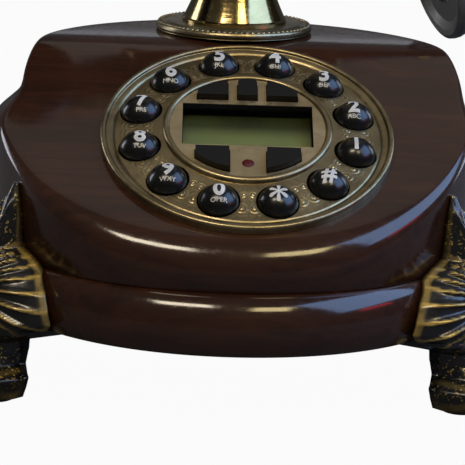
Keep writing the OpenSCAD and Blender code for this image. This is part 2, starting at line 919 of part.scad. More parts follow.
module pillar_nut() {
  color("silver")
    at_pillar(top_h - face_drop - 5)
      difference() {
        cylinder(r = 15, h = 4.9, $fn = 6);
        translate([0, 0, -1])
          cylinder(r = bolt_r + 0.05, h = 8);
      }
}
module cradle_yoke() {
  color("gold")
    at_pillar(0)
      rotate([0, 0, cradle_turn])
        difference() {
          union() {
            translate([0, 0, pillar_top])
              cylinder(r = 9, h = 6);
            translate([-fork_x, -5, bar_top - 5.4])
              cube([2 * fork_x, 10, 5.4]);
            for (x = [-fork_x, fork_x])
              translate([x, 0, fork_z])
                rotate([90, 0, 90]) {
                  rotate([0, 0, 180])
                    rotate_extrude(angle = 180, $fn = 64)
                      translate([fork_bore + fork_tube, 0])
                        circle(r = fork_tube, $fn = 24);
                  for (y = [-1, 1])
                    translate([y * (fork_bore + fork_tube), 0, 0])
                      rotate([-90, 0, 0]) {
                        cylinder(r1 = fork_tube, r2 = 2.4, h = 12, $fn = 24);
                        translate([0, 0, 13])
                          sphere(r = 3.6, $fn = 32);
                      }
                }
          }
          translate([0, 0, pillar_top - 5])
            cylinder(r = bore_r, h = 40, $fn = 48);
          translate([0, 0, bar_top - 2])
            cylinder(r = 5.4, h = 10, $fn = 48);
        }
}

// Hook: a rod through the pillar, pushed down by the handset and raised by its spring.
rod_top = grip_h - grip_r - 0.8 - rest_gap;
collar_z = top_h - 26;
module hook_rod() {
  color("silver")
    at_pillar(0) {
      translate([0, 0, rod_low])
        cylinder(r = rod_r, h = rod_top - rod_low - 1, $fn = 48);
      translate([0, 0, rod_top - 2])
        cylinder(r = 4.9, h = 2, $fn = 48);
      translate([0, 0, collar_z])
        cylinder(r = 5.4, h = 1.6, $fn = 40);
    }
}

module hook_spring() {
  color("silver")
    at_pillar(spring_low)
      linear_extrude(height = collar_z - spring_low - 0.1, twist = -1800, slices = 90, $fn = 8)
        polygon(concat(arc(0, 0, 5.2, 0, 90, 3), arc(0, 0, 4, 90, 0, 3)));
}

// Handset, in its own frame: X along the grip, the pillar axis at the middle.
module at_handset() {
  at_pillar(grip_h)
    rotate([0, 0, cradle_turn])
      children();
}

module elbow(bend_r, tube_r, from, to) {
  rotate([90, 0, 0])
    rotate([0, 0, from])
      rotate_extrude(angle = to - from, $fn = 72)
        translate([bend_r, 0])
          circle(r = tube_r, $fn = 32);
}

grip_mid = grip_r + 0.8;
module handset_grip() {
  color("maroon")
    at_handset()
      rotate([0, 90, 0])
        rotate_extrude($fn = 72)
          polygon(concat([[0, -grip_half + 6]],
            [for (t = [-1 : 0.1 : 1.001])
              [grip_mid - (grip_mid - 9.2) * pow(abs(t), 2.4), (grip_half - 6) * t]],
            [[0, grip_half - 6]]));
}

module grip_bands() {
  color("gold")
    at_handset()
      for (s = [-1, 1])
        rotate([0, s * 90, 0])
          translate([0, 0, grip_half - 5.95])
            rotate_extrude($fn = 72)
              polygon([[0, 0], [10, 0], [11, 1], [10.2, 2.4], [11.2, 4], [10.2, 5.9], [0, 5.9]]);
}

// Mouthpiece: an elbow, a flared horn and a slotted cap.
mouth_tilt = 74;
mouth_z = -44;
horn_l = 11;
horn_bend = 15.5;
horn_top = -mouth_z - horn_l * cos(mouth_tilt) - horn_bend * sin(mouth_tilt);
mouth_x = grip_half + 0.05 + horn_top - horn_bend + horn_bend * cos(mouth_tilt)
  - horn_l * sin(mouth_tilt);

module at_mouth() {
  translate([mouth_x, 0, mouth_z])
    rotate([0, mouth_tilt, 0])
      children();
}

module mouth_horn() {
  color("maroon")
    at_handset()
      difference() {
        union() {
          translate([grip_half + 0.05, 0, -horn_top])
            elbow(horn_top, 9.2, 2, 90);
          translate([grip_half + 0.05 + horn_top, 0, -horn_top - 1.4])
            cylinder(r = 9.9, h = 2.8);
          translate([grip_half + horn_top + 0.05 - horn_bend, 0, -horn_top])
            elbow(horn_bend, 9.2, -mouth_tilt, -3);
          at_mouth()
            rotate_extrude($fn = 72)
              polygon([[0, 12.2], [9.9, 12.2], [9.9, 10], [10.4, 9], [12.5, 6.2], [17, 4],
                [mouth_r - 1.2, 2.8],
                [mouth_r - 0.4, 1.6], [mouth_r - 0.4, 0.05], [0, 0.05]]);
        }
        at_mouth()
          translate([0, 0, -1])
            cylinder(r = 15.2, h = 5);
      }
}
module cap_slots(count, reach) {
  for (i = [0 : count - 1])
    translate([-reach + 2 * reach * i / (count - 1) - 0.9, -reach, -10])
      cube([1.8, 2 * reach, 20]);
}

module mouth_cap() {
  color("dimgray")
    at_handset()
      at_mouth()
        difference() {
          rotate_extrude($fn = 72)
            polygon([[0, -1.6], [mouth_r - 7, -1.6], [mouth_r - 4, -3.4], [mouth_r - 2, -3.9],
              [mouth_r - 0.4, -3.2], [mouth_r, -1.6], [mouth_r, 0], [0, 0]]);
          intersection() {
            cap_slots(5, 7.5);
            cylinder(r = 9, h = 30, center = true);
          }
        }
}

module microphone() {
  color("silver")
    at_handset()
      at_mouth()
        translate([0, 0, 0.1])
          cylinder(r = 14.8, h = 3.6, $fn = 48);
}

// Earpiece: a shorter elbow, a round cup and its cap.
ear_tilt = 35;
ear_bend = 14;
ear_neck = 4;

module at_ear() {
  translate([-grip_half - 0.05 - ear_bend * cos(ear_tilt) + ear_neck * sin(ear_tilt), 0,
      -ear_bend - ear_bend * sin(ear_tilt) - ear_neck * cos(ear_tilt)])
    rotate([0, -ear_tilt, 0])
      children();
}

module ear_cup() {
  color("maroon")
    at_handset()
      difference() {
        union() {
          translate([-grip_half - 0.05, 0, -ear_bend])
            elbow(ear_bend, 9.2, 90, 180 + ear_tilt);
          at_ear()
            rotate_extrude($fn = 72)
              polygon([[0, 5.2], [9.9, 5.2], [9.9, 3.8], [13, 3.2], [ear_r - 4, 1.5], [ear_r - 1.6, -1],
                [ear_r - 1, -4], [ear_r - 1, -8], [0, -8]]);
        }
        at_ear()
          translate([0, 0, -9])
            cylinder(r = 18, h = 6.5);
      }
}

module ear_cap() {
  color("maroon")
    at_handset()
      at_ear()
        difference() {
          rotate_extrude($fn = 72)
            polygon([[0, -10], [ear_r - 9, -10.4], [ear_r - 4, -12.6], [ear_r - 1, -12.4],
              [ear_r, -11], [ear_r, -8.05], [0, -8.05]]);
          for (i = [0 : 5])
            rotate([0, 0, 60 * i])
              translate([6, 0, -20])
                cylinder(r = 1.2, h = 20, $fn = 20);
          translate([0, 0, -20])
            cylinder(r = 1.2, h = 20, $fn = 20);
        }
}

module receiver() {
  color("silver")
    at_handset()
      at_ear()
        translate([0, 0, -7.9])
          cylinder(r = 17.7, h = 5.2, $fn = 48);
}

body_shell();
base_skirt();
base_plate();
base_screws();
foot_left();
foot_right();
foot_back();
foot_pads();
foot_screws();
dial_bezel();
display_panel();
display_frame();
display_lens();
lcd_glass();
led_lens();
keypad_mat();
keypad_board();
dial_clamp();
dial_screws();
main_board();
hook_switch();
ringer();
line_jack();
handset_jack();
pillar_flange();
pillar();
pillar_nut();
cradle_yoke();
battery_tray();
batteries();
switch_plate();
hook_spring();
hook_rod();
ringer_knob();
battery_door();
round_key(0);  // key_1
round_key(1);  // key_2
round_key(2);  // key_3
round_key(3);  // key_4
round_key(4);  // key_5
round_key(5);  // key_6
round_key(6);  // key_7
round_key(7);  // key_8
round_key(8);  // key_9
round_key(9);  // key_0
round_key(10);  // key_star
round_key(11);  // key_hash
fn_key(0);  // fn_up_left
fn_key(1);  // fn_up_mid
fn_key(2);  // fn_up_right
fn_key(3);  // fn_low_left
fn_key(4);  // fn_low_right
handset_grip();
grip_bands();
ear_cup();
ear_cap();
mouth_horn();
mouth_cap();
receiver();
microphone();
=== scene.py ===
"""Looks of a desk telephone: wooden body, bronze dial with domed keys, brass pillar, claw feet."""

import logging
import math
from dataclasses import dataclass
from enum import Enum
from typing import Callable, Iterable, Sequence

import bmesh
import bpy
import numpy as np
from mathutils import Matrix, Vector


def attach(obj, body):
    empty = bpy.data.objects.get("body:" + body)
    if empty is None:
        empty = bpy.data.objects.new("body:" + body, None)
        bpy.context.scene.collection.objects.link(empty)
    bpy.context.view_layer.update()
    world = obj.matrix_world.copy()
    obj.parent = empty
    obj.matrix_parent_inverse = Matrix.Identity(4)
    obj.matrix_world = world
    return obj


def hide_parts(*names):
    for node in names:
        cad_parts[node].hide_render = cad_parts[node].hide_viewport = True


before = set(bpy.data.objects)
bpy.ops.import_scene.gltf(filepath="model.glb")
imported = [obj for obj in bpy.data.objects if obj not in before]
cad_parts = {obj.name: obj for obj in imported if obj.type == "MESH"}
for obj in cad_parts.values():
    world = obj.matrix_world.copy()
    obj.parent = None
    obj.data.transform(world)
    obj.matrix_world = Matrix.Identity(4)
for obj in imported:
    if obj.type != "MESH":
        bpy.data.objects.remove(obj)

logging.basicConfig(level=logging.INFO, format="%(name)s: %(message)s")
log = logging.getLogger("telephone")

MM = 0.001
ROOT = "phone"
NODES: dict[str, bpy.types.Object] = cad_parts
FACE_TILT = math.radians(27.6)
CRADLE_TURN = math.radians(17)
Point = tuple[float, float, float]
Colour = tuple[float, float, float]
Linear = tuple[float, float, float, float]
Socket = bpy.types.NodeSocket
Rows = Sequence[tuple[float, float]]


class Axis(Enum):
    """Direction that a wood grain runs in, as an Euler rotation of the texture space."""

    ALONG_X = (0.0, 0.0, 0.0)
    HANDSET = (0.0, 0.0, -CRADLE_TURN)


class Look(Enum):
    """How the surface of a metal was left, as its roughness."""

    POLISHED = 0.12
    SATIN = 0.34
    AGED = 0.45


def linear(colour: Colour) -> Linear:
    """Converts a display colour of 0 to 255 per channel to a linear one with alpha.

    Args:
        colour: red, green and blue as they appear on screen.

    Returns:
        The linear colour with an alpha of one.
    """
    out = []
    for c in colour:
        v = c / 255
        out.append(v / 12.92 if v <= 0.04045 else ((v + 0.055) / 1.055) ** 2.4)
    return (out[0], out[1], out[2], 1.0)


def dimmed(colour: Colour, share: float) -> Colour:
    """A darker colour, with each channel at a share of its value."""
    return tuple(share * c for c in colour)


def smooth(t: float) -> float:
    """Smooth step of a value between zero and one."""
    return t * t * (3 - 2 * t)


def clamp(t: float) -> float:
    """Limits a value to the range zero to one."""
    return max(0.0, min(1.0, t))


def turn_of(i: float, count: int) -> float:
    """Angle of one of several equal steps around a full turn."""
    return 2 * math.pi * i / count


# ---------------------------------------------------------------- materials


class Shader:
    """Builds one node material with a Principled surface."""

    def __init__(self, name: str) -> None:
        """Starts the material.

        Args:
            name: name of the new material.
        """
        self.mat = bpy.data.materials.new(name)
        self.mat.use_nodes = True
        self.tree = self.mat.node_tree
        self.tree.nodes.clear()
        self.out = self.tree.nodes.new("ShaderNodeOutputMaterial")
        self.surface = self.tree.nodes.new("ShaderNodeBsdfPrincipled")
        self.join(self.surface.outputs[0], self.out.inputs[0])

    def join(self, a: Socket, b: Socket) -> None:
        """Links an output socket to an input socket."""
        self.tree.links.new(a, b)

    def node(self, kind: str, **inputs: object) -> bpy.types.Node:
        """Adds a node.

        Args:
            kind: type of the node without its common prefix.
            **inputs: socket names, spaces as underscores, with a value or an output socket.

        Returns:
            The new node.
        """
        node = self.tree.nodes.new("ShaderNode" + kind)
        for key, value in inputs.items():
            self.put(node.inputs[key.replace("_", " ")], value)
        return node

    def put(self, socket: Socket, value: object) -> None:
        """Sets a socket to a value or links it to another socket.

        Args:
            socket: input socket to fill.
            value: plain value or output socket.
        """
        if isinstance(value, bpy.types.NodeSocket):
            self.join(value, socket)
        else:
            socket.default_value = value

    def set(self, **inputs: object) -> None:
        """Sets sockets of the Principled surface, named with underscores for spaces."""
        for key, value in inputs.items():
            self.put(self.surface.inputs[key.replace("_", " ")], value)

    def place(self, scale: Point = (1, 1, 1), turn: Point = (0, 0, 0)) -> Socket:
        """Object coordinates in a changed texture space.

        Args:
            scale: scale along each axis.
            turn: Euler rotation in radians.

        Returns:
            Socket with the coordinates.
        """
        where = self.node("TexCoord")
        return self.node(
            "Mapping", Vector=where.outputs["Object"], Scale=scale, Rotation=turn
        ).outputs[0]

    def noise(
        self,
        vector: Socket,
        scale: float,
        detail: float = 4.0,
        rough: float = 0.55,
        warp: float = 0.0,
    ) -> Socket:
        """Adds a noise texture.

        Args:
            vector: coordinates.
            scale: spots per metre of texture space.
            detail: number of finer layers.
            rough: strength of the finer layers.
            warp: distortion.

        Returns:
            Socket with a value between zero and one.
        """
        return self.node(
            "TexNoise",
            Vector=vector,
            Scale=scale,
            Detail=detail,
            Roughness=rough,
            Distortion=warp,
        ).outputs[0]

    def ramp(self, factor: Socket, stops: Sequence[tuple[float, Linear]]) -> Socket:
        """Colours a value.

        Args:
            factor: value between zero and one.
            stops: places and linear colours.

        Returns:
            Socket with the colour.
        """
        node = self.node("ValToRGB", Fac=factor)
        band = node.color_ramp
        while len(band.elements) < len(stops):
            band.elements.new(0.5)
        for element, (place, colour) in zip(band.elements, stops):
            element.position = place
            element.color = colour
        return node.outputs[0]

    def remap(self, value: Socket, lo: float, hi: float, to_lo: float, to_hi: float) -> Socket:
        """Maps a value from one range to another and keeps it inside.

        Args:
            value: value to map.
            lo: start of its range.
            hi: end of its range.
            to_lo: start of the new range.
            to_hi: end of the new range.

        Returns:
            Socket with the new value.
        """
        return self.node(
            "MapRange", Value=value, From_Min=lo, From_Max=hi, To_Min=to_lo, To_Max=to_hi
        ).outputs[0]

    def mix(self, factor: object, a: object, b: object, how: str = "MIX") -> Socket:
        """Mixes two colours.

        Args:
            factor: share of the second colour.
            a: first colour or socket.
            b: second colour or socket.
            how: blend type.

        Returns:
            Socket with the mixed colour.
        """
        node = self.tree.nodes.new("ShaderNodeMix")
        node.data_type = "RGBA"
        node.blend_type = how
        # Sockets of the colour mode. Those between them belong to the other modes.
        for number, value in ((0, factor), (6, a), (7, b)):
            self.put(node.inputs[number], value)
        return node.outputs[2]

    def maths(self, operation: str, a: object, b: object) -> Socket:
        """Combines two values.

        Args:
            operation: kind of sum, such as MULTIPLY.
            a: first value or socket.
            b: second value or socket.

        Returns:
            Socket with the result.
        """
        node = self.node("Math")
        node.operation = operation
        self.put(node.inputs[0], a)
        self.put(node.inputs[1], b)
        return node.outputs[0]

    def painted(self, name: str) -> Socket:
        """Value per vertex that the mesh carries under a name.

        Args:
            name: name of the attribute.

        Returns:
            Socket with the value.
        """
        node = self.node("Attribute")
        node.attribute_name = name
        return node.outputs["Fac"]

    def roughen(self, height: Socket, depth: float, normal: str = "Normal") -> None:
        """Bumps the surface.

        Args:
            height: height between zero and one.
            depth: full depth in metres.
            normal: name of the surface socket that the bump goes to.
        """
        node = self.node("Bump", Height=height, Distance=depth, Strength=1.0)
        self.put(self.surface.inputs[normal], node.outputs[0])


@dataclass(frozen=True)
class LacqueredWood:
    """Dark wood under a thick gloss lacquer, with long grain and fine pores."""

    name: str
    light: Colour
    dark: Colour
    grain: Axis = Axis.ALONG_X
    streak_scale: Point = (6, 42, 42)
    pore_scale: Point = (30, 900, 900)
    lacquer_ior: float = 1.52
    pore_depth: float = 0.00003
    ripple_depth: float = 0.0001

    def make(self) -> bpy.types.Material:
        """Builds the material.

        Returns:
            The material.
        """
        s = Shader(self.name)
        long = s.place(self.streak_scale, self.grain.value)
        warp = s.noise(long, 1.2, 3, 0.5, 0.6)
        streaks = s.noise(long, 3.0, 8, 0.62, 1.4)
        pores = s.noise(s.place(self.pore_scale, self.grain.value), 1.0, 4, 0.6)
        grain = s.mix(0.35, streaks, pores, "MULTIPLY")
        body = s.ramp(grain, [(0.08, linear(self.dark)), (0.62, linear(self.light))])
        cloud = s.remap(warp, 0.3, 0.7, 0.75, 1.15)
        s.set(Base_Color=s.mix(1.0, body, cloud, "MULTIPLY"))
        s.set(Roughness=0.5, IOR=1.5, Specular_IOR_Level=0.04)
        dust = s.noise(s.place(), 420.0, 3, 0.7)
        s.set(Coat_Weight=1.0, Coat_IOR=self.lacquer_ior)
        s.set(Coat_Roughness=s.remap(dust, 0.45, 0.75, 0.11, 0.2))
        s.roughen(pores, self.pore_depth)
        s.roughen(s.noise(s.place(), 55.0, 2, 0.5), self.ripple_depth, "Coat Normal")
        return s.mat


@dataclass(frozen=True)
class Brass:
    """Yellow or brown copper alloy with tarnish in clouds and fine scratches."""

    name: str
    bright: Colour
    tarnish: Colour
    look: Look
    wear: str = ""
    scratch_scale: Point = (60, 900, 900)
    scratch_depth: float = 0.00002

    def make(self) -> bpy.types.Material:
        """Builds the material. With a wear attribute, low places are darker.

        Returns:
            The material.
        """
        s = Shader(self.name)
        where = s.place()
        cloud = s.noise(where, 70.0, 6, 0.65, 0.5)
        speck = s.noise(where, 900.0, 3, 0.6)
        tone = s.ramp(cloud, [(0.35, linear(self.tarnish)), (0.62, linear(self.bright))])
        if self.wear:
            deep = dimmed(linear(self.tarnish)[:3], 0.18) + (1.0,)
            tone = s.mix(s.painted(self.wear), deep, tone)
        rough = self.look.value
        s.set(Base_Color=tone, Metallic=1.0)
        s.set(Roughness=s.remap(speck, 0.3, 0.75, rough * 0.8, rough * 1.35))
        s.roughen(s.noise(s.place(self.scratch_scale), 1.0, 3, 0.6), self.scratch_depth)
        return s.mat


@dataclass(frozen=True)
class GiltBlack:
    """Black enamel with gold on its ribs and in flecks, where the mesh is painted."""

    name: str
    black: Colour
    gold: Colour
    gold_metal: float = 0.45
    grit_depth: float = 0.00006

    def make(self) -> bpy.types.Material:
        """Builds the material from the mesh attributes gilt and fleck.

        Returns:
            The material.
        """
        s = Shader(self.name)
        where = s.place()
        wear = s.noise(where, 260.0, 5, 0.7)
        rubbed = s.maths("MULTIPLY", s.painted("gilt"), s.remap(wear, 0.34, 0.52, 0.55, 1.0))
        dots = s.remap(s.noise(where, 900.0, 2, 0.5), 0.62, 0.65, 0.0, 0.9)
        amount = s.maths("MAXIMUM", rubbed, s.maths("MULTIPLY", s.painted("fleck"), dots))
        dull = linear(dimmed(self.gold, 0.62))
        tint = s.ramp(s.noise(where, 90.0, 3, 0.6), [(0.35, dull), (0.65, linear(self.gold))])
        s.set(Base_Color=s.mix(amount, linear(self.black), tint))
        s.set(Metallic=s.maths("MULTIPLY", amount, self.gold_metal))
        s.set(Roughness=s.remap(wear, 0.3, 0.7, 0.24, 0.36))
        s.set(Coat_Weight=0.35, Coat_Roughness=0.08)
        s.roughen(s.noise(where, 700.0, 4, 0.6), self.grit_depth)
        return s.mat


@dataclass(frozen=True)
class Plastic:
    """Moulded plastic, glossy or matt, with a fine texture and dust."""

    name: str
    colour: Colour
    rough: float = 0.4
    coat: float = 0.0
    texture: float = 0.00003
    shine: float = 0.5
    ior: float = 1.49

    def make(self) -> bpy.types.Material:
        """Builds the material.

        Returns:
            The material.
        """
        s = Shader(self.name)
        where = s.place()
        cloud = s.noise(where, 180.0, 4, 0.6)
        dim = linear(dimmed(self.colour, 0.8))
        s.set(Base_Color=s.ramp(cloud, [(0.3, dim), (0.7, linear(self.colour))]))
        s.set(Roughness=s.remap(cloud, 0.3, 0.7, self.rough * 0.85, self.rough * 1.2))
        s.set(Coat_Weight=self.coat, Coat_Roughness=0.5 * self.rough)
        s.set(IOR=self.ior, Specular_IOR_Level=self.shine)
        s.roughen(s.noise(where, 2400.0, 2, 0.5), self.texture)
        return s.mat


@dataclass(frozen=True)
class Steel:
    """Zinc-plated or brushed steel."""

    name: str
    colour: Colour = (170, 172, 176)
    brush_scale: Point = (400, 400, 40)
    brush_depth: float = 0.00002

    def make(self) -> bpy.types.Material:
        """Builds the material.

        Returns:
            The material.
        """
        s = Shader(self.name)
        brushed = s.noise(s.place(self.brush_scale), 1.0, 4, 0.6)
        s.set(Base_Color=linear(self.colour), Metallic=1.0)
        s.set(Roughness=s.remap(brushed, 0.3, 0.7, 0.25, 0.45))
        s.roughen(brushed, self.brush_depth)
        return s.mat


@dataclass(frozen=True)
class Window:
    """Clear window over the display."""

    name: str
    ior: float = 1.2

    def make(self) -> bpy.types.Material:
        """Builds the material.

        Returns:
            The material.
        """
        s = Shader(self.name)
        smear = s.noise(s.place(), 120.0, 3, 0.6)
        s.set(Base_Color=(1, 1, 1, 1), Transmission_Weight=1.0, IOR=self.ior)
        s.set(Roughness=s.remap(smear, 0.4, 0.8, 0.0, 0.03))
        return s.mat


@dataclass(frozen=True)
class Display:
    """Olive liquid crystal glass with painted light and shade: lighter toward its lower edge, and a
    painted shadow of the window recess along its top.
    """

    name: str
    high: Colour
    low: Colour
    height: float = 0.032

    def make(self) -> bpy.types.Material:
        """Builds the material.

        Returns:
            The material.
        """
        s = Shader(self.name)
        where = s.place(turn=(-FACE_TILT, 0, 0))
        split = s.node("SeparateXYZ", Vector=where)
        along = s.remap(split.outputs[1], 0.0, self.height, 0.0, 1.0)
        # Painted light and shade: the lower edge is lit, and the dark stop is a painted shadow of
        # the recess over the top of the glass.
        high = linear(self.high)
        dark = linear(dimmed(self.high, 0.3))
        base = s.ramp(along, [(0.0, linear(self.low)), (0.6, high), (0.78, dark)])
        cloud = s.remap(s.noise(where, 40.0, 2, 0.5), 0.3, 0.7, 0.0, 0.25)
        s.set(Base_Color=s.mix(cloud, base, high))
        s.set(Roughness=0.35, Specular_IOR_Level=0.2)
        return s.mat


# ---------------------------------------------------------------- meshes


def solid(
    name: str,
    points: Sequence[Sequence[float]],
    faces: Sequence[Sequence[int]],
    place: Matrix | None = None,
) -> bpy.types.Object:
    """Makes a smooth-shaded object from points in millimetres.

    Args:
        name: name of the new object.
        points: vertices in millimetres.
        faces: vertex numbers of each face.
        place: frame that the points are in, or None for the object frame.

    Returns:
        The new object, linked to the scene.
    """
    turn = place or Matrix.Identity(4)
    verts = [(turn @ Vector(p)) * MM for p in points]
    mesh = bpy.data.meshes.new(name)
    mesh.from_pydata(verts, [], [list(f) for f in faces])
    mesh.update()
    mesh.polygons.foreach_set("use_smooth", [True] * len(mesh.polygons))
    piece = bpy.data.objects.new(name, mesh)
    bpy.context.scene.collection.objects.link(piece)
    return piece


def cut(piece: bpy.types.Object, cutters: Iterable[bpy.types.Object]) -> None:
    """Cuts closed shapes out of a piece and removes the cutters.

    Args:
        piece: object whose mesh is replaced by the result.
        cutters: closed objects to take away.
    """
    form = bmesh.new()
    for cutter in cutters:
        form.from_mesh(cutter.data)
        bpy.data.objects.remove(cutter)
    tool = solid("cutter", [], [])
    form.to_mesh(tool.data)
    form.free()
    step = piece.modifiers.new("cut", "BOOLEAN")
    step.operation = "DIFFERENCE"
    step.solver = "EXACT"
    step.object = tool
    graph = bpy.context.evaluated_depsgraph_get()
    made = bpy.data.meshes.new_from_object(piece.evaluated_get(graph))
    piece.modifiers.remove(step)
    piece.data = made
    bpy.data.objects.remove(tool)


def sharpen(piece: bpy.types.Object, degrees: float = 34) -> None:
    """Marks sharp edges, so that flat and round faces shade cleanly.

    Args:
        piece: object to mark.
        degrees: smallest angle of a sharp edge.
    """
    piece.data.polygons.foreach_set("use_smooth", [True] * len(piece.data.polygons))
    form = bmesh.new()
    form.from_mesh(piece.data)
    limit = math.radians(degrees)
    for edge in form.edges:
        if len(edge.link_faces) == 2 and edge.calc_face_angle(0) > limit:
            edge.smooth = False
    form.to_mesh(piece.data)
    form.free()


def dress(piece: bpy.types.Object, material: bpy.types.Material) -> None:
    """Gives a piece one material."""
    piece.data.materials.clear()
    piece.data.materials.append(material)


def paint(piece: bpy.types.Object, name: str, values: Sequence[float]) -> None:
    """Stores one value per vertex for a material to read."""
    layer = piece.data.attributes.new(name, "FLOAT", "POINT")
    layer.data.foreach_set("value", list(values))


def belt(columns: int, rows: int) -> list[list[int]]:
    """Faces between closed sections that stand side by side around an axis.

    Args:
        columns: number of sections.
        rows: number of points in each section.

    Returns:
        Faces of the closed ring.
    """
    faces = []
    for i in range(columns):
        k = (i + 1) % columns
        for j in range(rows):
            n = (j + 1) % rows
            faces.append([i * rows + j, i * rows + n, k * rows + n, k * rows + j])
    return faces


def arc(middle: tuple[float, float], size: tuple[float, float]) -> list[tuple[float, float]]:
    """Upper half of an ellipse as radius and height, from outside to inside.

    Args:
        middle: its centre.
        size: half of its width and of its height.

    Returns:
        Thirteen points.
    """
    steps = 12
    angles = [math.pi * k / steps for k in range(steps + 1)]
    return [
        (middle[0] + size[0] * math.cos(t), middle[1] + size[1] * math.sin(t)) for t in angles
    ]


def lathe(outline: Rows, count: int, relief: Callable[[float, float], float]) -> list[Point]:
    """Turns a closed outline about Z.

    Args:
        outline: radius and height of each point, in order around the section.
        count: number of columns.
        relief: height to add at a radius and an angle.

    Returns:
        Points of the ring, column by column.
    """
    points: list[Point] = []
    for i in range(count):
        a = turn_of(i, count)
        points += [(r * math.cos(a), r * math.sin(a), z + relief(r, a)) for r, z in outline]
    return points


def cylinder(
    radius: float, low: float, high: float, place: Matrix, count: int = 64
) -> bpy.types.Object:
    """Makes a closed cylinder to cut with.

    Args:
        radius: its radius in millimetres.
        low: lower end along Z of its frame.
        high: upper end along Z of its frame.
        place: its frame.
        count: number of sides.

    Returns:
        The new object.
    """
    ring = [turn_of(i, count) for i in range(count)]
    points = [
        (radius * math.cos(a), radius * math.sin(a), z) for z in (low, high) for a in ring
    ]
    faces = [[i, (i + 1) % count, count + (i + 1) % count, count + i] for i in range(count)]
    faces += [list(range(count))[::-1], list(range(count, 2 * count))]
    return solid("hole", points, faces, place)


def block(name: str, low: Point, high: Point) -> bpy.types.Object:
    """Makes a closed box.

    Args:
        name: name of the new object.
        low: lowest corner in millimetres.
        high: highest corner in millimetres.

    Returns:
        The new object.
    """
    xs, ys, zs = zip(low, high)
    points = [(x, y, z) for x in xs for y in ys for z in zs]
    faces = [[0, 1, 3, 2], [4, 6, 7, 5], [0, 4, 5, 1], [2, 3, 7, 6], [0, 2, 6, 4], [1, 5, 7, 3]]
    return solid(name, points, faces)


def beads(name: str, centres: Iterable[Point], radius: float, place: Matrix) -> bpy.types.Object:
    """Makes small balls as one mesh.

    Args:
        name: name of the new object.
        centres: middles of the balls in millimetres.
        radius: radius of a ball.
        place: frame that the middles are in.

    Returns:
        The new object.
    """
    points: list[Point] = []
    faces: list[list[int]] = []
    rings, around = 5, 10
    for cx, cy, cz in centres:
        base = len(points)
        for j in range(rings + 1):
            t = math.pi * (j + 0.5) / (rings + 1)
            out, up = radius * math.sin(t), radius * math.cos(t)
            for a in (turn_of(i, around) for i in range(around)):
                points.append((cx + out * math.cos(a), cy + out * math.sin(a), cz + up))
        for j in range(rings):
            for i in range(around):
                k = (i + 1) % around
                p = base + j * around
                faces.append([p + i, p + around + i, p + around + k, p + k])
        faces.append([base + i for i in range(around)])
        last = base + rings * around
        faces.append([last + i for i in range(around)][::-1])
    return solid(name, points, faces, place)


def table(z: float, rows: Rows) -> float:
    """Value at z of a table of rows, held at its ends."""
    return float(np.interp(z, [r[0] for r in rows], [r[1] for r in rows]))


# ---------------------------------------------------------------- body


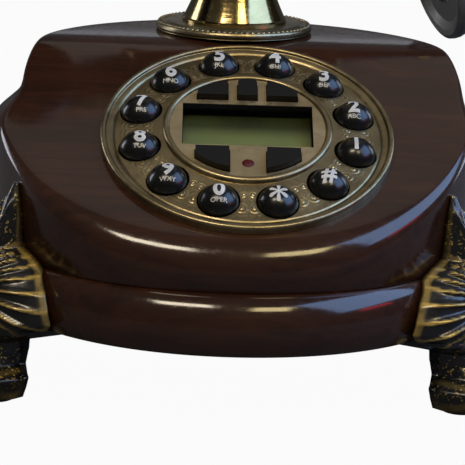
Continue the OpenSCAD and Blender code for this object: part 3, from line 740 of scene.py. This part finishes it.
@dataclass
class BodyShape:
    """Surface of the round body with its sloped face, in millimetres."""

    radius: float = 87.0
    cap: float = 80.5
    cap_shift: float = 2.8
    draw: float = 4.0
    low: float = 28.0
    seam: float = 49.0
    top: float = 119.0
    dial: Point = (4.0, -28.0, 92.0)
    roll_side: float = 2.5
    roll_front: float = 8.0
    crease: float = 3.0
    waist: float = 2.2
    waist_high: float = 14.0
    swell: float = 0.8
    shoulder_drop: float = 27.0
    neck_drop: float = 14.3
    neck_high: float = 12.7
    ring_step: float = 0.6
    ring_out: float = 2.0
    overlap: float = 0.05
    face_steps: int = 14
    roll_steps: int = 12
    wall_steps: int = 28

    @property
    def face(self) -> Matrix:
        """Frame of the dial: origin at its middle on the wood, Z out of the face."""
        return Matrix.Translation(self.dial) @ Matrix.Rotation(FACE_TILT, 4, "X")

    def turned(self, z: float) -> float:
        """Radius of the wall at a height, before the front is drawn in.

        Args:
            z: height.

        Returns:
            The radius.
        """
        widest = self.radius + self.swell
        shoulder = self.top - self.shoulder_drop
        if z >= shoulder:
            return self.cap + (widest - self.cap) * self.flare(z)
        up = z - self.seam
        grown = self.swell * clamp(up / (shoulder - self.seam))
        return self.radius + grown - self.waist * (1 - clamp(up / self.waist_high)) ** 2

    def flare(self, z: float) -> float:
        """Share of the way from the cap to the shoulder at a height."""
        return smooth(clamp((self.top - self.neck_drop - z) / self.neck_high))

    def wall(self, z: float, a: float) -> float:
        """Radius of the wall at a height and angle."""
        return self.turned(z) + self.cap_shift * (1 - self.flare(z)) * math.cos(a) - self.drawn(a)

    def drawn(self, a: float) -> float:
        """How far the front is drawn in at an angle."""
        return self.draw * max(0.0, -math.sin(a)) ** 6

    def roll(self, a: float) -> float:
        """Size of the rounded edge between face and wall at an angle."""
        return self.roll_side + self.roll_front * max(0.0, -math.sin(a)) ** 2

    def face_height(self, y: float) -> float:
        """Height of the face and top at a depth.

        Args:
            y: place from front to back.

        Returns:
            The height.
        """
        slope = self.dial[2] + (y - self.dial[1]) * math.tan(FACE_TILT)
        gap = slope - self.top
        return (slope + self.top - math.hypot(gap, self.crease)) / 2

    def edge(self, a: float) -> tuple[float, float]:
        """Radius and height where face and wall would meet unrounded, at an angle.

        Args:
            a: angle around the body.

        Returns:
            The radius and the height.
        """
        lo, hi = 40.0, 100.0
        for _ in range(30):
            mid = (lo + hi) / 2
            if mid > self.wall(self.face_height(mid * math.sin(a)), a):
                hi = mid
            else:
                lo = mid
        mid = (lo + hi) / 2
        return mid, self.face_height(mid * math.sin(a))

    def section(self, a: float) -> list[tuple[float, float]]:
        """Section from near the middle of the face, over its edge and down to the seam.

        Args:
            a: angle around the body.

        Returns:
            Radius and height of each point.
        """
        sa = math.sin(a)
        edge = self.edge(a)
        roll = self.roll(a)
        start = (edge[0] - roll, self.face_height((edge[0] - roll) * sa))
        z = edge[1] - roll
        end = (self.wall(z, a), z)
        spokes = [start[0] * k / self.face_steps for k in range(1, self.face_steps)]
        out = [(r, self.face_height(r * sa)) for r in spokes]
        for k in range(self.roll_steps):
            t = k / self.roll_steps
            out.append(
                tuple(
                    (1 - t) ** 2 * p + 2 * t * (1 - t) * q + t * t * s
                    for p, q, s in zip(start, edge, end)
                )
            )
        for k in range(self.wall_steps + 1):
            z = end[1] + (self.seam + self.overlap - end[1]) * k / self.wall_steps
            out.append((self.wall(z, a), z))
        return out

    def skirt(self, z: float, a: float) -> float:
        """Radius of the base ring at a height and angle.

        Args:
            z: height.
            a: angle around the body.

        Returns:
            The radius.
        """
        t = (z - self.low) / (self.seam - self.low)
        up = clamp((t - 0.4) / 0.6)
        top = self.radius - self.waist - self.ring_step - self.drawn(a)
        out = self.radius + self.ring_out - 0.3 * self.drawn(a)
        # A quarter ellipse, cut short so that its upper end isn't quite level.
        turn = (1 - math.sqrt(1 - 0.97 * up * up)) / (1 - math.sqrt(0.03))
        foot = 2.2 * clamp((0.35 - t) / 0.35) ** 2
        return out - (out - top) * turn - foot


@dataclass
class WoodenBody:
    """Body shell and base ring, re-made as fine smooth skins."""

    shape: BodyShape
    columns: int = 220
    wall: float = 5.0
    inner_rows: int = 12
    dial_hole: float = 48.4
    stem_hole: float = 9.3
    stem_depth: float = 52.0
    bore: float = 77.7
    ring_steps: int = 26
    pocket_half: float = 7.1
    pocket_low: float = 32.9
    pocket_high: float = 45.1
    socket_side: float = 45.0

    def shell(self) -> bpy.types.Object:
        """Builds the shell with the openings for the dial and the pillar.

        Returns:
            The new object.
        """
        angles = [turn_of(i + 0.5, self.columns) for i in range(self.columns)]
        rings = [self.shape.section(a) for a in angles]
        inner = [[(r - self.wall, z) for r, z in ring[-self.inner_rows :]][::-1] for ring in rings]
        rings = [ring + back for ring, back in zip(rings, inner)]
        m = len(rings[0])
        points = [
            (r * math.cos(a), r * math.sin(a), z) for a, ring in zip(angles, rings) for r, z in ring
        ]
        points.append((0.0, 0.0, self.shape.face_height(0.0)))
        points.append((0.0, 0.0, self.shape.seam + 2))
        crown, under = len(points) - 2, len(points) - 1
        faces = []
        for i in range(self.columns):
            k = (i + 1) % self.columns
            faces.append([crown, i * m, k * m])
            faces.append([under, k * m + m - 1, i * m + m - 1])
            for j in range(m - 1):
                faces.append([i * m + j, i * m + j + 1, k * m + j + 1, k * m + j])
        piece = solid("wood_shell", points, faces)
        stem = Matrix.Translation((0, self.stem_depth, self.shape.top))
        dial_hole = cylinder(self.dial_hole, -8, 14, self.shape.face, 128)
        cut(piece, [dial_hole, cylinder(self.stem_hole, -8, 9, stem)])
        self.open_inside(piece)
        sharpen(piece, 40)
        return piece

    def open_inside(self, piece: bpy.types.Object) -> None:
        """Removes the helper faces that close the shell from below.

        Args:
            piece: shell to open.
        """
        form = bmesh.new()
        form.from_mesh(piece.data)
        inner = (self.shape.radius - 9) * MM
        largest = 100 * MM * MM
        gone = []
        for f in form.faces:
            c = f.calc_center_median()
            lid = f.normal.z < -0.5 and math.hypot(c.x, c.y) < inner
            if lid or f.calc_area() > largest:
                gone.append(f)
        bmesh.ops.delete(form, geom=gone, context="FACES")
        form.to_mesh(piece.data)
        form.free()

    def ring(self) -> bpy.types.Object:
        """Builds the base ring with its three pockets.

        Returns:
            The new object.
        """
        top, low = self.shape.seam - 0.1, self.shape.low
        levels = [top - (top - low) * j / self.ring_steps for j in range(self.ring_steps + 1)]
        points: list[Point] = []
        for a in (turn_of(i + 0.5, self.columns) for i in range(self.columns)):
            rim = [(self.shape.skirt(z, a), z) for z in levels]
            rim += [(self.bore, low), (self.bore, top)]
            points += [(r * math.cos(a), r * math.sin(a), z) for r, z in rim]
        piece = solid("wood_ring", points, belt(self.columns, len(levels) + 2))
        # Two pockets at the back and one on the left.
        half, floor, roof = self.pocket_half, self.pocket_low, self.pocket_high
        cutters = [
            block("pocket", (x - half, 47, floor), (x + half, 99, roof))
            for x in (-self.socket_side, self.socket_side)
        ]
        cutters.append(block("pocket", (-99, -half, floor), (-64, half, roof)))
        cut(piece, cutters)
        sharpen(piece, 40)
        return piece

    def build(self, wood: bpy.types.Material) -> None:
        """Builds and dresses both skins.

        Args:
            wood: material of both.
        """
        for piece, node in ((self.shell(), "body_shell"), (self.ring(), "base_skirt")):
            dress(piece, wood)
            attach(piece, ROOT)
            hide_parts(node)
            log.info("wood %s: %d faces", node, len(piece.data.polygons))


# ---------------------------------------------------------------- feet


@dataclass
class ClawFoot:
    """One carved foot with a shell knee and a clawed paw, in millimetres."""

    shape: BodyShape
    angle: float
    node: str
    paw: float = 15.0
    reach: float = 112.0
    shell: float = 27.0
    height: float = 49.0
    knee: float = 15.0
    ribs: int = 26
    toe_pitch: float = 0.62
    lug_low: Point = (66, -7, 21.9)
    lug_high: Point = (86, 7, 27.9)
    across: int = 110
    behind: int = 14
    levels: int = 150

    def half(self, z: float) -> float:
        """Half of the width at a height.

        Args:
            z: height.

        Returns:
            Half of the width.
        """
        e, p, s = self.shape.low, self.paw, self.shell
        rows = [(1, p - 6.5), (2.5, p - 5.7), (5, p - 4.2), (9, p - 2.5), (13, 7.4)]
        rows += [(17, 6.5), (e - 6.5, 6.5), (e - 4, 12.5), (e - 0.7, s - 6.5)]
        rows += [(e + 1.5, s - 2.5), (e + 4, s), (e + 9, s - 0.8), (e + 14, s - 3)]
        rows += [(e + 19, s - 8), (e + 24, s - 14.5), (e + 27, 5.2)]
        rows += [(e + 36, 4.6), (e + 43, 3.4), (e + 46, 2.4), (e + self.height, 1.5)]
        return table(z, rows)

    def front(self, z: float) -> float:
        """Distance of the front line from the body's axis at a height.

        Args:
            z: height.

        Returns:
            The distance.
        """
        e, r = self.shape.low, self.reach
        rows = [(1, r - 8), (3, r - 4), (6, r - 1), (9, r - 0.5), (12, r - 4)]
        rows += [(17, r - 12), (22, r - 13)]
        rows += [(e - 3, r - 12), (e + 1, r - 10), (e + 4, r - 8), (e + 9, r - 6.5)]
        rows += [(e + 15, r - 6), (e + 21, r - 8), (e + 28, r - 12), (e + 36, r - 16)]
        rows += [(e + 44, r - 19), (e + self.height, self.shape.radius + 3.4)]
        return table(z, rows)

    def back(self, z: float, w: float) -> float:
        """Distance of the back face from the axis. Beside the body it follows the wall.

        Args:
            z: height.
            w: distance to the side.

        Returns:
            The distance.
        """
        if z >= self.shape.low:
            wide = self.shape.turned(max(z, self.shape.seam))
            if z <= self.shape.seam:
                wide = max(wide, self.shape.skirt(z, math.pi / 2))
            return math.sqrt(wide * wide - w * w) + 0.25
        r, e = self.shape.radius, self.shape.low
        rows = [(1, r + 1), (4, r + 0.8), (10, r + 0.5), (18, r - 2)]
        return table(z, rows + [(e - 3, r - 2.5), (e - 0.8, r + 0.8)])

    def carve(self, s: float, z: float) -> tuple[float, float]:
        """Carves the shell on the knee and the toes of the paw.

        Args:
            s: place across the front, from minus one to one.
            z: height.

        Returns:
            Distance of the front from the body's axis, and the share of gold on it.
        """
        e = self.shape.low
        w = s * self.half(z)
        rim = [(1, 4), (18, 5), (e - 2, 5), (e + 2, 3.2), (e + 20, 3), (e + 36, 2)]
        b = self.back(z, w) + table(z, rim + [(e + self.height, 0.8)])
        if z > e - 1:
            bulge = clamp(1 - s * s) ** 0.6
        else:
            bulge = math.sqrt(clamp(1 - abs(s) ** 3))
        up = z - (e + self.knee)
        reach = math.hypot(w, up)
        fan = math.cos(self.ribs * math.atan2(up, abs(w)))
        fade = clamp((reach - 3) / 9) * clamp((z - e + 2) / 4)
        ridge = 2 * ((1 + fan) / 2) ** 4 - 1
        toe = math.cos(2 * math.pi * w / (self.paw * self.toe_pitch))
        low = clamp((14 - z) / 6)
        edge = clamp(5 * (1.02 - abs(s)))
        u = b + max(0.0, self.front(z) - b) * bulge + (1.3 * ridge * fade + 2.2 * toe * low) * edge
        gilt = clamp((fan - 0.78) / 0.12) * fade * clamp((e + 30 - z) / 4)
        if z > e - 1:
            rim_gold = clamp((abs(s) - 0.976) / 0.014) * clamp((z - e) / 3)
            gilt = max(gilt, rim_gold * (0.45 if z < e + 27 else 0.12))
        gilt = max(gilt, clamp((toe - 0.7) / 0.3) * low * 0.35)
        return u, gilt

    def build(self, finish: bpy.types.Material) -> None:
        """Builds and dresses the foot.

        Args:
            finish: its material.
        """
        n = self.across
        top = self.shape.low + self.height
        per = n + self.behind
        points: list[Point] = []
        gold: list[float] = []
        fleck: list[float] = []
        for j in range(self.levels + 1):
            z = 1 + (top - 1) * j / self.levels
            for i in range(n + 1):
                s = math.sin(math.pi / 2 * (-1 + 2 * i / n))
                u, g = self.carve(s, z)
                points.append((u, s * self.half(z), z))
                gold.append(g)
            for i in range(1, self.behind):
                s = 1 - 2 * i / self.behind
                points.append((self.back(z, s * self.half(z)), s * self.half(z), z))
                gold.append(0.0)
            bare = self.shape.low - 3 < z < self.shape.low + 25
            fleck += [0.0 if bare else 1.0] * per
        faces = []
        for j in range(self.levels):
            for i in range(per):
                k = (i + 1) % per
                a, b = j * per, (j + 1) * per
                faces.append([a + i, a + k, b + k, b + i])
        faces.append(list(range(per))[::-1])
        faces.append([self.levels * per + i for i in range(per)])
        turn = Matrix.Rotation(math.radians(self.angle), 4, "Z")
        piece = solid("carved_" + self.node, points, faces, turn)
        paint(piece, "gilt", gold)
        paint(piece, "fleck", fleck)
        lug = block("lug_" + self.node, self.lug_low, self.lug_high)
        lug.data.transform(turn)
        for part in (piece, lug):
            dress(part, finish)
            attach(part, ROOT)
            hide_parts(self.node)
        sharpen(lug)
        log.info("foot %s: %d faces", self.node, len(piece.data.polygons))


# ---------------------------------------------------------------- dial


@dataclass
class Dial:
    """Bronze dial ring with an engraved band between the keys, in millimetres."""

    shape: BodyShape
    radius: float = 52.0
    ring: float = 30.1
    circle: float = 39.2
    key: float = 7.1
    rise: float = 5.3
    keys: int = 12
    first: float = -15.0
    pitch: float = 30.0
    clearance: float = 0.4
    scroll_in: float = 31.2
    scroll_mid: float = 38.6
    scroll_out: float = 45.8
    engraving: float = 0.26
    columns: int = 900

    def band(self, r: float) -> float:
        """Height of the plain band at a radius."""
        return 1.6 + 2.6 * (self.radius - 5 - r) / (self.radius - 5 - self.ring)

    def spot(self, i: int) -> Matrix:
        """Frame of a key: that of the face, moved to the middle of the key.

        Args:
            i: number of the key.

        Returns:
            The frame.
        """
        a = math.radians(self.first + self.pitch * i)
        move = Matrix.Translation((self.circle * math.cos(a), self.circle * math.sin(a), 0))
        return self.shape.face @ move

    def scroll(self, r: float, a: float) -> float:
        """Engraves leaf scrolls between the keys.

        Args:
            r: radius on the dial.
            a: angle on the dial.

        Returns:
            Height from zero to one.
        """
        if not self.scroll_in < r < self.scroll_out:
            return 0.0
        step = math.radians(self.pitch)
        x = (((a + step / 2) % step) - step / 2) * r
        y = r - self.scroll_mid
        out = 0.0
        # Place of each curl beside and above the middle, pace and hand of its line, reach, size.
        curls = ((2.6, 2.6, 4.2, -1, 1.6, 2.6), (1.7, -3.2, 5.0, 1, 1.5, 2.0))
        for side in (-1, 1):
            for beside, cy, pace, hand, reach, size in curls:
                cx = side * beside
                d = math.hypot(x - cx, y - cy)
                t = math.atan2(y - cy, (x - cx) * side)
                out = max(out, math.cos(pace * d + hand * t) * clamp(reach - d / size))
        vein = math.cos(7.5 * abs(x) + 2.2 * y) * clamp(1 - abs(x) / 4.5)
        out = max(out, 0.7 * vein * clamp(1 - abs(y) / 5.5))
        near = a % step - step / 2
        away = math.hypot(r * math.cos(near) - self.circle, r * math.sin(near))
        return out * clamp((away - self.key - 0.7) / 0.8)

    def relief(self, r: float, a: float) -> float:
        """Height of the engraving at a radius and angle."""
        return self.engraving * self.scroll(r, a)

    def bezel(self) -> bpy.types.Object:
        """Builds the ring with its rim, band, raised inner ring and key holes.

        Returns:
            The new object.
        """
        outline = [(47.9, 0.0), (48.1, 0.05), (51.99, 0.05)] + arc((51.0, 2.2), (1.0, 1.0))
        outline += [(49.7, 2.0), (49.3, 2.05), (48.4, 1.85), (47.9, 1.7)]
        outline += [(47.4, self.band(47.0) - 0.35), (47.0, self.band(47.0))]
        outline += [(r, self.band(r)) for r in (46.6 - 0.28 * k for k in range(58))]
        outline += [(30.2, self.band(30.2))] + arc((28.85, 4.75), (1.25, 1.2)) + [(27.7, 0.0)]
        m = len(outline)
        # The underside stays flat, so it takes its height from the outline.
        flat = [
            (x, y, outline[j % m][1] if outline[j % m][1] < 0.5 else z)
            for j, (x, y, z) in enumerate(lathe(outline, self.columns, self.relief))
        ]
        faces = [f[::-1] for f in belt(self.columns, m)]
        piece = solid("engraved_ring", flat, faces, self.shape.face)
        worn = []
        for a in (turn_of(i, self.columns) for i in range(self.columns)):
            worn += [0.5 + 0.5 * self.scroll(r, a) if z > 0.9 else 0.9 for r, z in outline]
        paint(piece, "worn", worn)
        hole = self.key + self.clearance
        cut(piece, [cylinder(hole, -3, 9, self.spot(i), 48) for i in range(self.keys)])
        sharpen(piece, 50)
        return piece

    def build(self, bronze: bpy.types.Material) -> None:
        """Builds and dresses the ring.

        Args:
            bronze: its material.
        """
        piece = self.bezel()
        dress(piece, bronze)
        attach(piece, ROOT)
        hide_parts("dial_bezel")
        log.info("dial ring: %d faces", len(piece.data.polygons))


@dataclass
class Keys:
    """Legends printed on the domed keys."""

    dial: Dial
    legends: tuple[tuple[str, str, str], ...] = (
        ("key_1", "1", ""),
        ("key_2", "2", "ABC"),
        ("key_3", "3", "DEF"),
        ("key_4", "4", "GHI"),
        ("key_5", "5", "JKL"),
        ("key_6", "6", "MNO"),
        ("key_7", "7", "PRS"),
        ("key_8", "8", "TUV"),
        ("key_9", "9", "WXY"),
        ("key_0", "0", "OPER"),
        ("key_star", "*", ""),
        ("key_hash", "#", ""),
    )
    size: float = 9.4
    star_size: float = 17.0
    letter_size: float = 2.0
    lift: float = 0.05
    longest: float = 0.55

    def dome(self, x: float, y: float) -> float:
        """Height of the dome above the face at a place on the key.

        Args:
            x: place to the right of the key's middle.
            y: place above it.

        Returns:
            The height.
        """
        d = self.dial
        ball = (d.key**2 + d.rise**2) / (2 * d.rise)
        base = d.band(d.circle)
        return base + d.rise - ball + math.sqrt(max(0.0, ball * ball - x * x - y * y))

    def mark(
        self, name: str, text: str, size: float, at: float, wide: float, bold: float
    ) -> bpy.types.Object:
        """Makes text as a fine flat mesh in millimetres, in the key's own plane.

        Args:
            name: name of the new object.
            text: its characters.
            size: size of the type.
            at: height of its middle above that of the key.
            wide: stretch of its width.
            bold: thickening of its strokes.

        Returns:
            The new object.
        """
        curve = bpy.data.curves.new(name, "FONT")
        curve.body = text
        curve.size = size
        curve.align_x = "CENTER"
        curve.align_y = "CENTER"
        curve.offset = bold
        curve.resolution_u = 5
        maker = bpy.data.objects.new(name, curve)
        bpy.context.scene.collection.objects.link(maker)
        graph = bpy.context.evaluated_depsgraph_get()
        mesh = bpy.data.meshes.new_from_object(maker.evaluated_get(graph))
        bpy.data.objects.remove(maker)
        form = bmesh.new()
        form.from_mesh(mesh)
        for _ in range(4):
            bmesh.ops.triangulate(form, faces=form.faces[:])
            long = [e for e in form.edges if e.calc_length() > self.longest]
            if not long:
                break
            bmesh.ops.subdivide_edges(form, edges=long, cuts=1)
        bmesh.ops.triangulate(form, faces=form.faces[:])
        form.to_mesh(mesh)
        form.free()
        for v in mesh.vertices:
            v.co.x *= wide
            v.co.y += at
        piece = bpy.data.objects.new(name, mesh)
        bpy.context.scene.collection.objects.link(piece)
        return piece

    def build(self, ink: bpy.types.Material) -> None:
        """Builds the legends and sets each on its key's dome.

        Args:
            ink: their material.
        """
        for i, (node, digit, letters) in enumerate(self.legends):
            turn = self.dial.spot(i)
            # Text, size, height above the middle, width and boldness of each line.
            if digit == "*":
                parts = [(digit, self.star_size, -3.6, 0.88, 0.22)]
            else:
                parts = [(digit, self.size, 0.4 if letters else 0.0, 0.88, 0.33)]
            if letters:
                parts.append((letters, self.letter_size, -4.1, 1.2, 0.0))
            for k, (text, size, at, wide, bold) in enumerate(parts):
                piece = self.mark(f"legend_{node}_{k}", text, size, at, wide, bold)
                for v in piece.data.vertices:
                    h = self.dome(v.co.x, v.co.y) + self.lift
                    v.co = (turn @ Vector((v.co.x, v.co.y, h))) * MM
                piece.data.update()
                dress(piece, ink)
                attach(piece, node + "_cap")
        log.info("legends: %d keys", len(self.legends))


@dataclass
class RecessShadeSheet:
    """Black sheet on the walls of the opening over the display, a painted shadow of the recess, in
    millimetres.
    """

    shape: BodyShape
    wide: float = 23.08
    low: float = -10.18
    high: float = 12.98
    thin: float = 0.2
    foot: float = 0.05
    deep: float = 4.7

    def build(self, black: bpy.types.Material) -> None:
        """Builds and dresses the four walls as one piece.

        Args:
            black: its material.
        """
        points: list[Point] = []
        for z in (self.foot, self.deep):
            for t in (0.0, self.thin):
                x, lo, hi = self.wide - t, self.low + t, self.high - t
                points += [(-x, lo, z), (x, lo, z), (x, hi, z), (-x, hi, z)]
        faces = []
        for i in range(4):
            k = (i + 1) % 4
            faces.append([i, k, 8 + k, 8 + i])
            faces.append([4 + k, 4 + i, 12 + i, 12 + k])
            faces.append([k, i, 4 + i, 4 + k])
            faces.append([8 + i, 8 + k, 12 + k, 12 + i])
        # The black sheet is a painted shadow on the walls of the display recess.
        piece = solid("window_shade_sheet", points, faces, self.shape.face)
        dress(piece, black)
        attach(piece, ROOT)
        log.info("lining: %d faces", len(faces))


# ---------------------------------------------------------------- brass


@dataclass
class Flange:
    """Row of beads on the flange at the foot of the pillar, in millimetres."""

    shape: BodyShape
    depth: float = 52.0
    circle: float = 28.6
    height: float = 2.6
    bead: float = 0.8
    count: int = 84

    def build(self, brass: bpy.types.Material) -> None:
        """Builds and dresses the beads.

        Args:
            brass: their material.
        """
        place = Matrix.Translation((0, self.depth, self.shape.top))
        centres = [
            (self.circle * math.cos(a), self.circle * math.sin(a), self.height)
            for a in (turn_of(i, self.count) for i in range(self.count))
        ]
        piece = beads("flange_beads", centres, self.bead, place)
        dress(piece, brass)
        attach(piece, ROOT)
        log.info("flange: %d beads", self.count)


# ---------------------------------------------------------------- finishes of the plain nodes


@dataclass
class Trim:
    """Finishes of the nodes that keep their own shape."""

    groups: tuple[tuple[object, tuple[str, ...]], ...]

    def build(self) -> None:
        """Dresses every node of every group."""
        for finish, nodes in self.groups:
            material = finish if isinstance(finish, bpy.types.Material) else finish.make()
            for name in nodes:
                dress(NODES[name], material)
        log.info("trim: %d groups", len(self.groups))


# ---------------------------------------------------------------- studio


@dataclass
class Studio:
    """Camera, floor and soft lights. Its eye is in millimetres, the lights are in metres."""

    eye: Point = (-23.03, -833.0, 249.41)
    yaw: float = -1.64
    pitch: float = 13.4
    roll: float = 2.07
    focal_px: float = 2312.0
    frame_px: int = 465
    sensor: float = 36.0
    aim: Point = (0.0, 0.0, 0.09)

    def camera(self) -> None:
        """Makes the camera."""
        a, e, r = (math.radians(v) for v in (self.yaw, self.pitch, self.roll))
        back = Vector((math.sin(a) * math.cos(e), -math.cos(a) * math.cos(e), math.sin(e)))
        side = Vector((math.cos(a), math.sin(a), 0))
        up = back.cross(side)
        right = side * math.cos(r) + up * math.sin(r)
        over = -side * math.sin(r) + up * math.cos(r)
        data = bpy.data.cameras.new("camera")
        data.sensor_fit = "HORIZONTAL"
        data.sensor_width = self.sensor
        data.lens = self.focal_px / self.frame_px * self.sensor
        data.clip_start = 0.05
        data.clip_end = 20.0
        cam = bpy.data.objects.new("camera", data)
        turn = Matrix((right, over, back)).transposed().to_4x4()
        cam.matrix_world = Matrix.Translation(Vector(self.eye) * MM) @ turn
        bpy.context.scene.collection.objects.link(cam)
        bpy.context.scene.camera = cam

    def softbox(
        self,
        name: str,
        at: Point,
        along: Point,
        size: tuple[float, float],
        watts: float,
        tint: Colour = (255, 250, 244),
    ) -> None:
        """Adds one rectangular light that faces the object.

        Args:
            name: name of the light.
            at: its place in metres.
            along: direction of its long side.
            size: long and short side in metres.
            watts: its power.
            tint: its colour.
        """
        data = bpy.data.lights.new(name, "AREA")
        data.shape = "RECTANGLE"
        data.size, data.size_y = size
        data.energy = watts
        data.color = linear(tint)[:3]
        lamp = bpy.data.objects.new(name, data)
        out = (Vector(at) - Vector(self.aim)).normalized()
        side = Vector(along) - out * out.dot(Vector(along))
        side.normalize()
        turn = Matrix((side, out.cross(side), out)).transposed().to_4x4()
        lamp.matrix_world = Matrix.Translation(Vector(at)) @ turn
        bpy.context.scene.collection.objects.link(lamp)

    def lights(self) -> None:
        """Makes the lights and the backdrop."""
        blue, red, cool = (146, 182, 236), (214, 40, 56), (240, 244, 255)
        self.softbox("key", (-0.42, -0.9, 1.28), (1, 0, 0), (0.55, 0.26), 9.0, (255, 240, 212))
        self.softbox("warm", (0.36, -0.95, 1.08), (1, 0, 0), (0.34, 0.3), 4.2, (255, 232, 170))
        self.softbox("window", (1.08, -0.32, 0.98), (0.3, 1, 0), (1.3, 1.0), 22.0, blue)
        self.softbox("curtain", (1.4, -0.55, 0.5), (0.3, 1, 0), (0.5, 0.09), 1.1, red)
        self.softbox("far_wall", (0.0, 2.4, 0.7), (1, 0, 0), (1.8, 0.3), 0.6, cool)
        self.softbox("ceiling", (0.0, 0.6, 1.5), (1, 0, 0), (1.7, 1.1), 1.5, (255, 246, 232))
        self.softbox("left_strip", (-1.1, 0.5, 0.3), (0, 0, 1), (0.8, 0.3), 4.0, cool)
        self.softbox("right_strip", (1.0, 0.6, 0.3), (0, 0, 1), (0.8, 0.3), 3.0, (210, 224, 250))
        world = bpy.data.worlds.new("studio")
        world.use_nodes = True
        tree = world.node_tree
        tree.nodes.clear()
        # The backdrop is white to the camera and dim to all other rays.
        kinds = ("OutputWorld", "MixShader", "Background", "Background", "LightPath")
        out, mix, seen, dim, path = (tree.nodes.new("ShaderNode" + kind) for kind in kinds)
        seen.inputs[0].default_value = (1, 1, 1, 1)
        dim.inputs[0].default_value = (0.95, 0.97, 1, 1)
        dim.inputs[1].default_value = 0.07
        tree.links.new(path.outputs["Is Camera Ray"], mix.inputs[0])
        tree.links.new(dim.outputs[0], mix.inputs[1])
        tree.links.new(seen.outputs[0], mix.inputs[2])
        tree.links.new(mix.outputs[0], out.inputs[0])
        bpy.context.scene.world = world

    def floor(self) -> None:
        """Makes the pale table top."""
        half = 2500.0
        points = [(-half, -half, 0), (half, -half, 0), (half, half, 0), (-half, half, 0)]
        piece = solid("floor", points, [[0, 1, 2, 3]])
        s = Shader("pale_floor")
        s.set(Base_Color=(0.1, 0.1, 0.1, 1), Roughness=0.8)
        # The glow is for the camera alone, to all other rays the table is dark grey.
        path = s.node("LightPath")
        glow = s.node("Emission", Color=(1, 1, 1, 1))
        blend = s.node("MixShader")
        s.join(s.maths("MULTIPLY", path.outputs["Is Camera Ray"], 0.96), blend.inputs[0])
        s.join(s.surface.outputs[0], blend.inputs[1])
        s.join(glow.outputs[0], blend.inputs[2])
        s.join(blend.outputs[0], s.out.inputs[0])
        dress(piece, s.mat)

    def build(self) -> None:
        """Makes the whole studio."""
        self.camera()
        self.lights()
        self.floor()
        bpy.context.scene.view_settings.view_transform = "Standard"
        log.info("studio ready")


def main() -> None:
    """Builds every piece in order."""
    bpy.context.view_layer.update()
    shape = BodyShape()
    dial = Dial(shape)
    body_wood = LacqueredWood("body_wood", (58, 32, 20), (21, 10, 6)).make()
    hand_wood = LacqueredWood("handset_wood", (48, 24, 17), (18, 8, 6), Axis.HANDSET).make()
    bronze = Brass("bronze", (212, 194, 152), (166, 148, 112), Look.SATIN, "worn").make()
    polished = Brass("polished_brass", (176, 156, 108), (140, 120, 80), Look.POLISHED).make()
    aged = Brass("aged_brass", (160, 148, 118), (112, 100, 74), Look.SATIN).make()
    panel = Brass("panel_bronze", (198, 180, 144), (168, 150, 116), Look.AGED)
    claw = GiltBlack("claw_foot", (16, 16, 18), (224, 190, 104)).make()
    black = Plastic("black_plastic", (34, 34, 35), 0.5)
    steel = Steel("steel")
    domes = tuple(n for n in NODES if n.startswith("key_"))
    small = tuple(n for n in NODES if n.startswith("fn_"))
    boxes = ("display_frame", "hook_switch", "line_jack", "handset_jack")
    covers = ("battery_tray", "switch_plate", "battery_door")
    fixings = ("base_screws", "foot_screws", "dial_screws", "pillar_nut", "dial_clamp")
    hook = ("hook_rod", "hook_spring")
    WoodenBody(shape).build(body_wood)
    for angle, node in ((210, "foot_left"), (330, "foot_right"), (90, "foot_back")):
        ClawFoot(shape, angle, node).build(claw)
    dial.build(bronze)
    Keys(dial).build(Plastic("legend_white", (212, 212, 210), 0.5).make())
    # Near-black sheet inside the display opening: a painted shadow of the recess walls.
    RecessShadeSheet(shape).build(Plastic("painted_shade_black", (6, 6, 6), 0.8, shine=0.05).make())
    Flange(shape).build(aged)
    Trim(
        (
            (panel, ("display_panel",)),
            (polished, ("pillar", "cradle_yoke", "grip_bands")),
            (aged, ("pillar_flange",)),
            (hand_wood, ("handset_grip", "ear_cup", "mouth_horn", "ear_cap")),
            (Plastic("key_black", (13, 13, 13), 0.27, 0.3, 0.000004, 0.3), domes),
            (Plastic("soft_black", (11, 11, 12), 0.42, 0.0, 0.00001, 0.3), small),
            (black, boxes + covers),
            (Plastic("grey_plastic", (92, 92, 92), 0.4), ("mouth_cap", "ringer_knob")),
            (Plastic("plate_steel", (38, 38, 38), 0.55, 0.0, 0.00008), ("base_plate",)),
            (steel, fixings + hook),
            (Plastic("rubber", (30, 30, 30), 0.75, 0.0, 0.0001), ("foot_pads", "keypad_mat")),
            (Plastic("board_green", (20, 80, 44), 0.35), ("keypad_board", "main_board")),
            (Display("lcd", (98, 108, 60), (136, 146, 84)), ("lcd_glass",)),
            (Window("lens"), ("display_lens",)),
            (Plastic("led_red", (84, 8, 14), 0.5, 0.0, shine=0.3), ("led_lens",)),
            (Steel("transducer", (190, 190, 190)), ("ringer", "receiver", "microphone")),
            (Plastic("cell", (150, 110, 40), 0.25), ("batteries",)),
        )
    ).build()
    Studio().build()


if __name__ == "__main__":
    main()
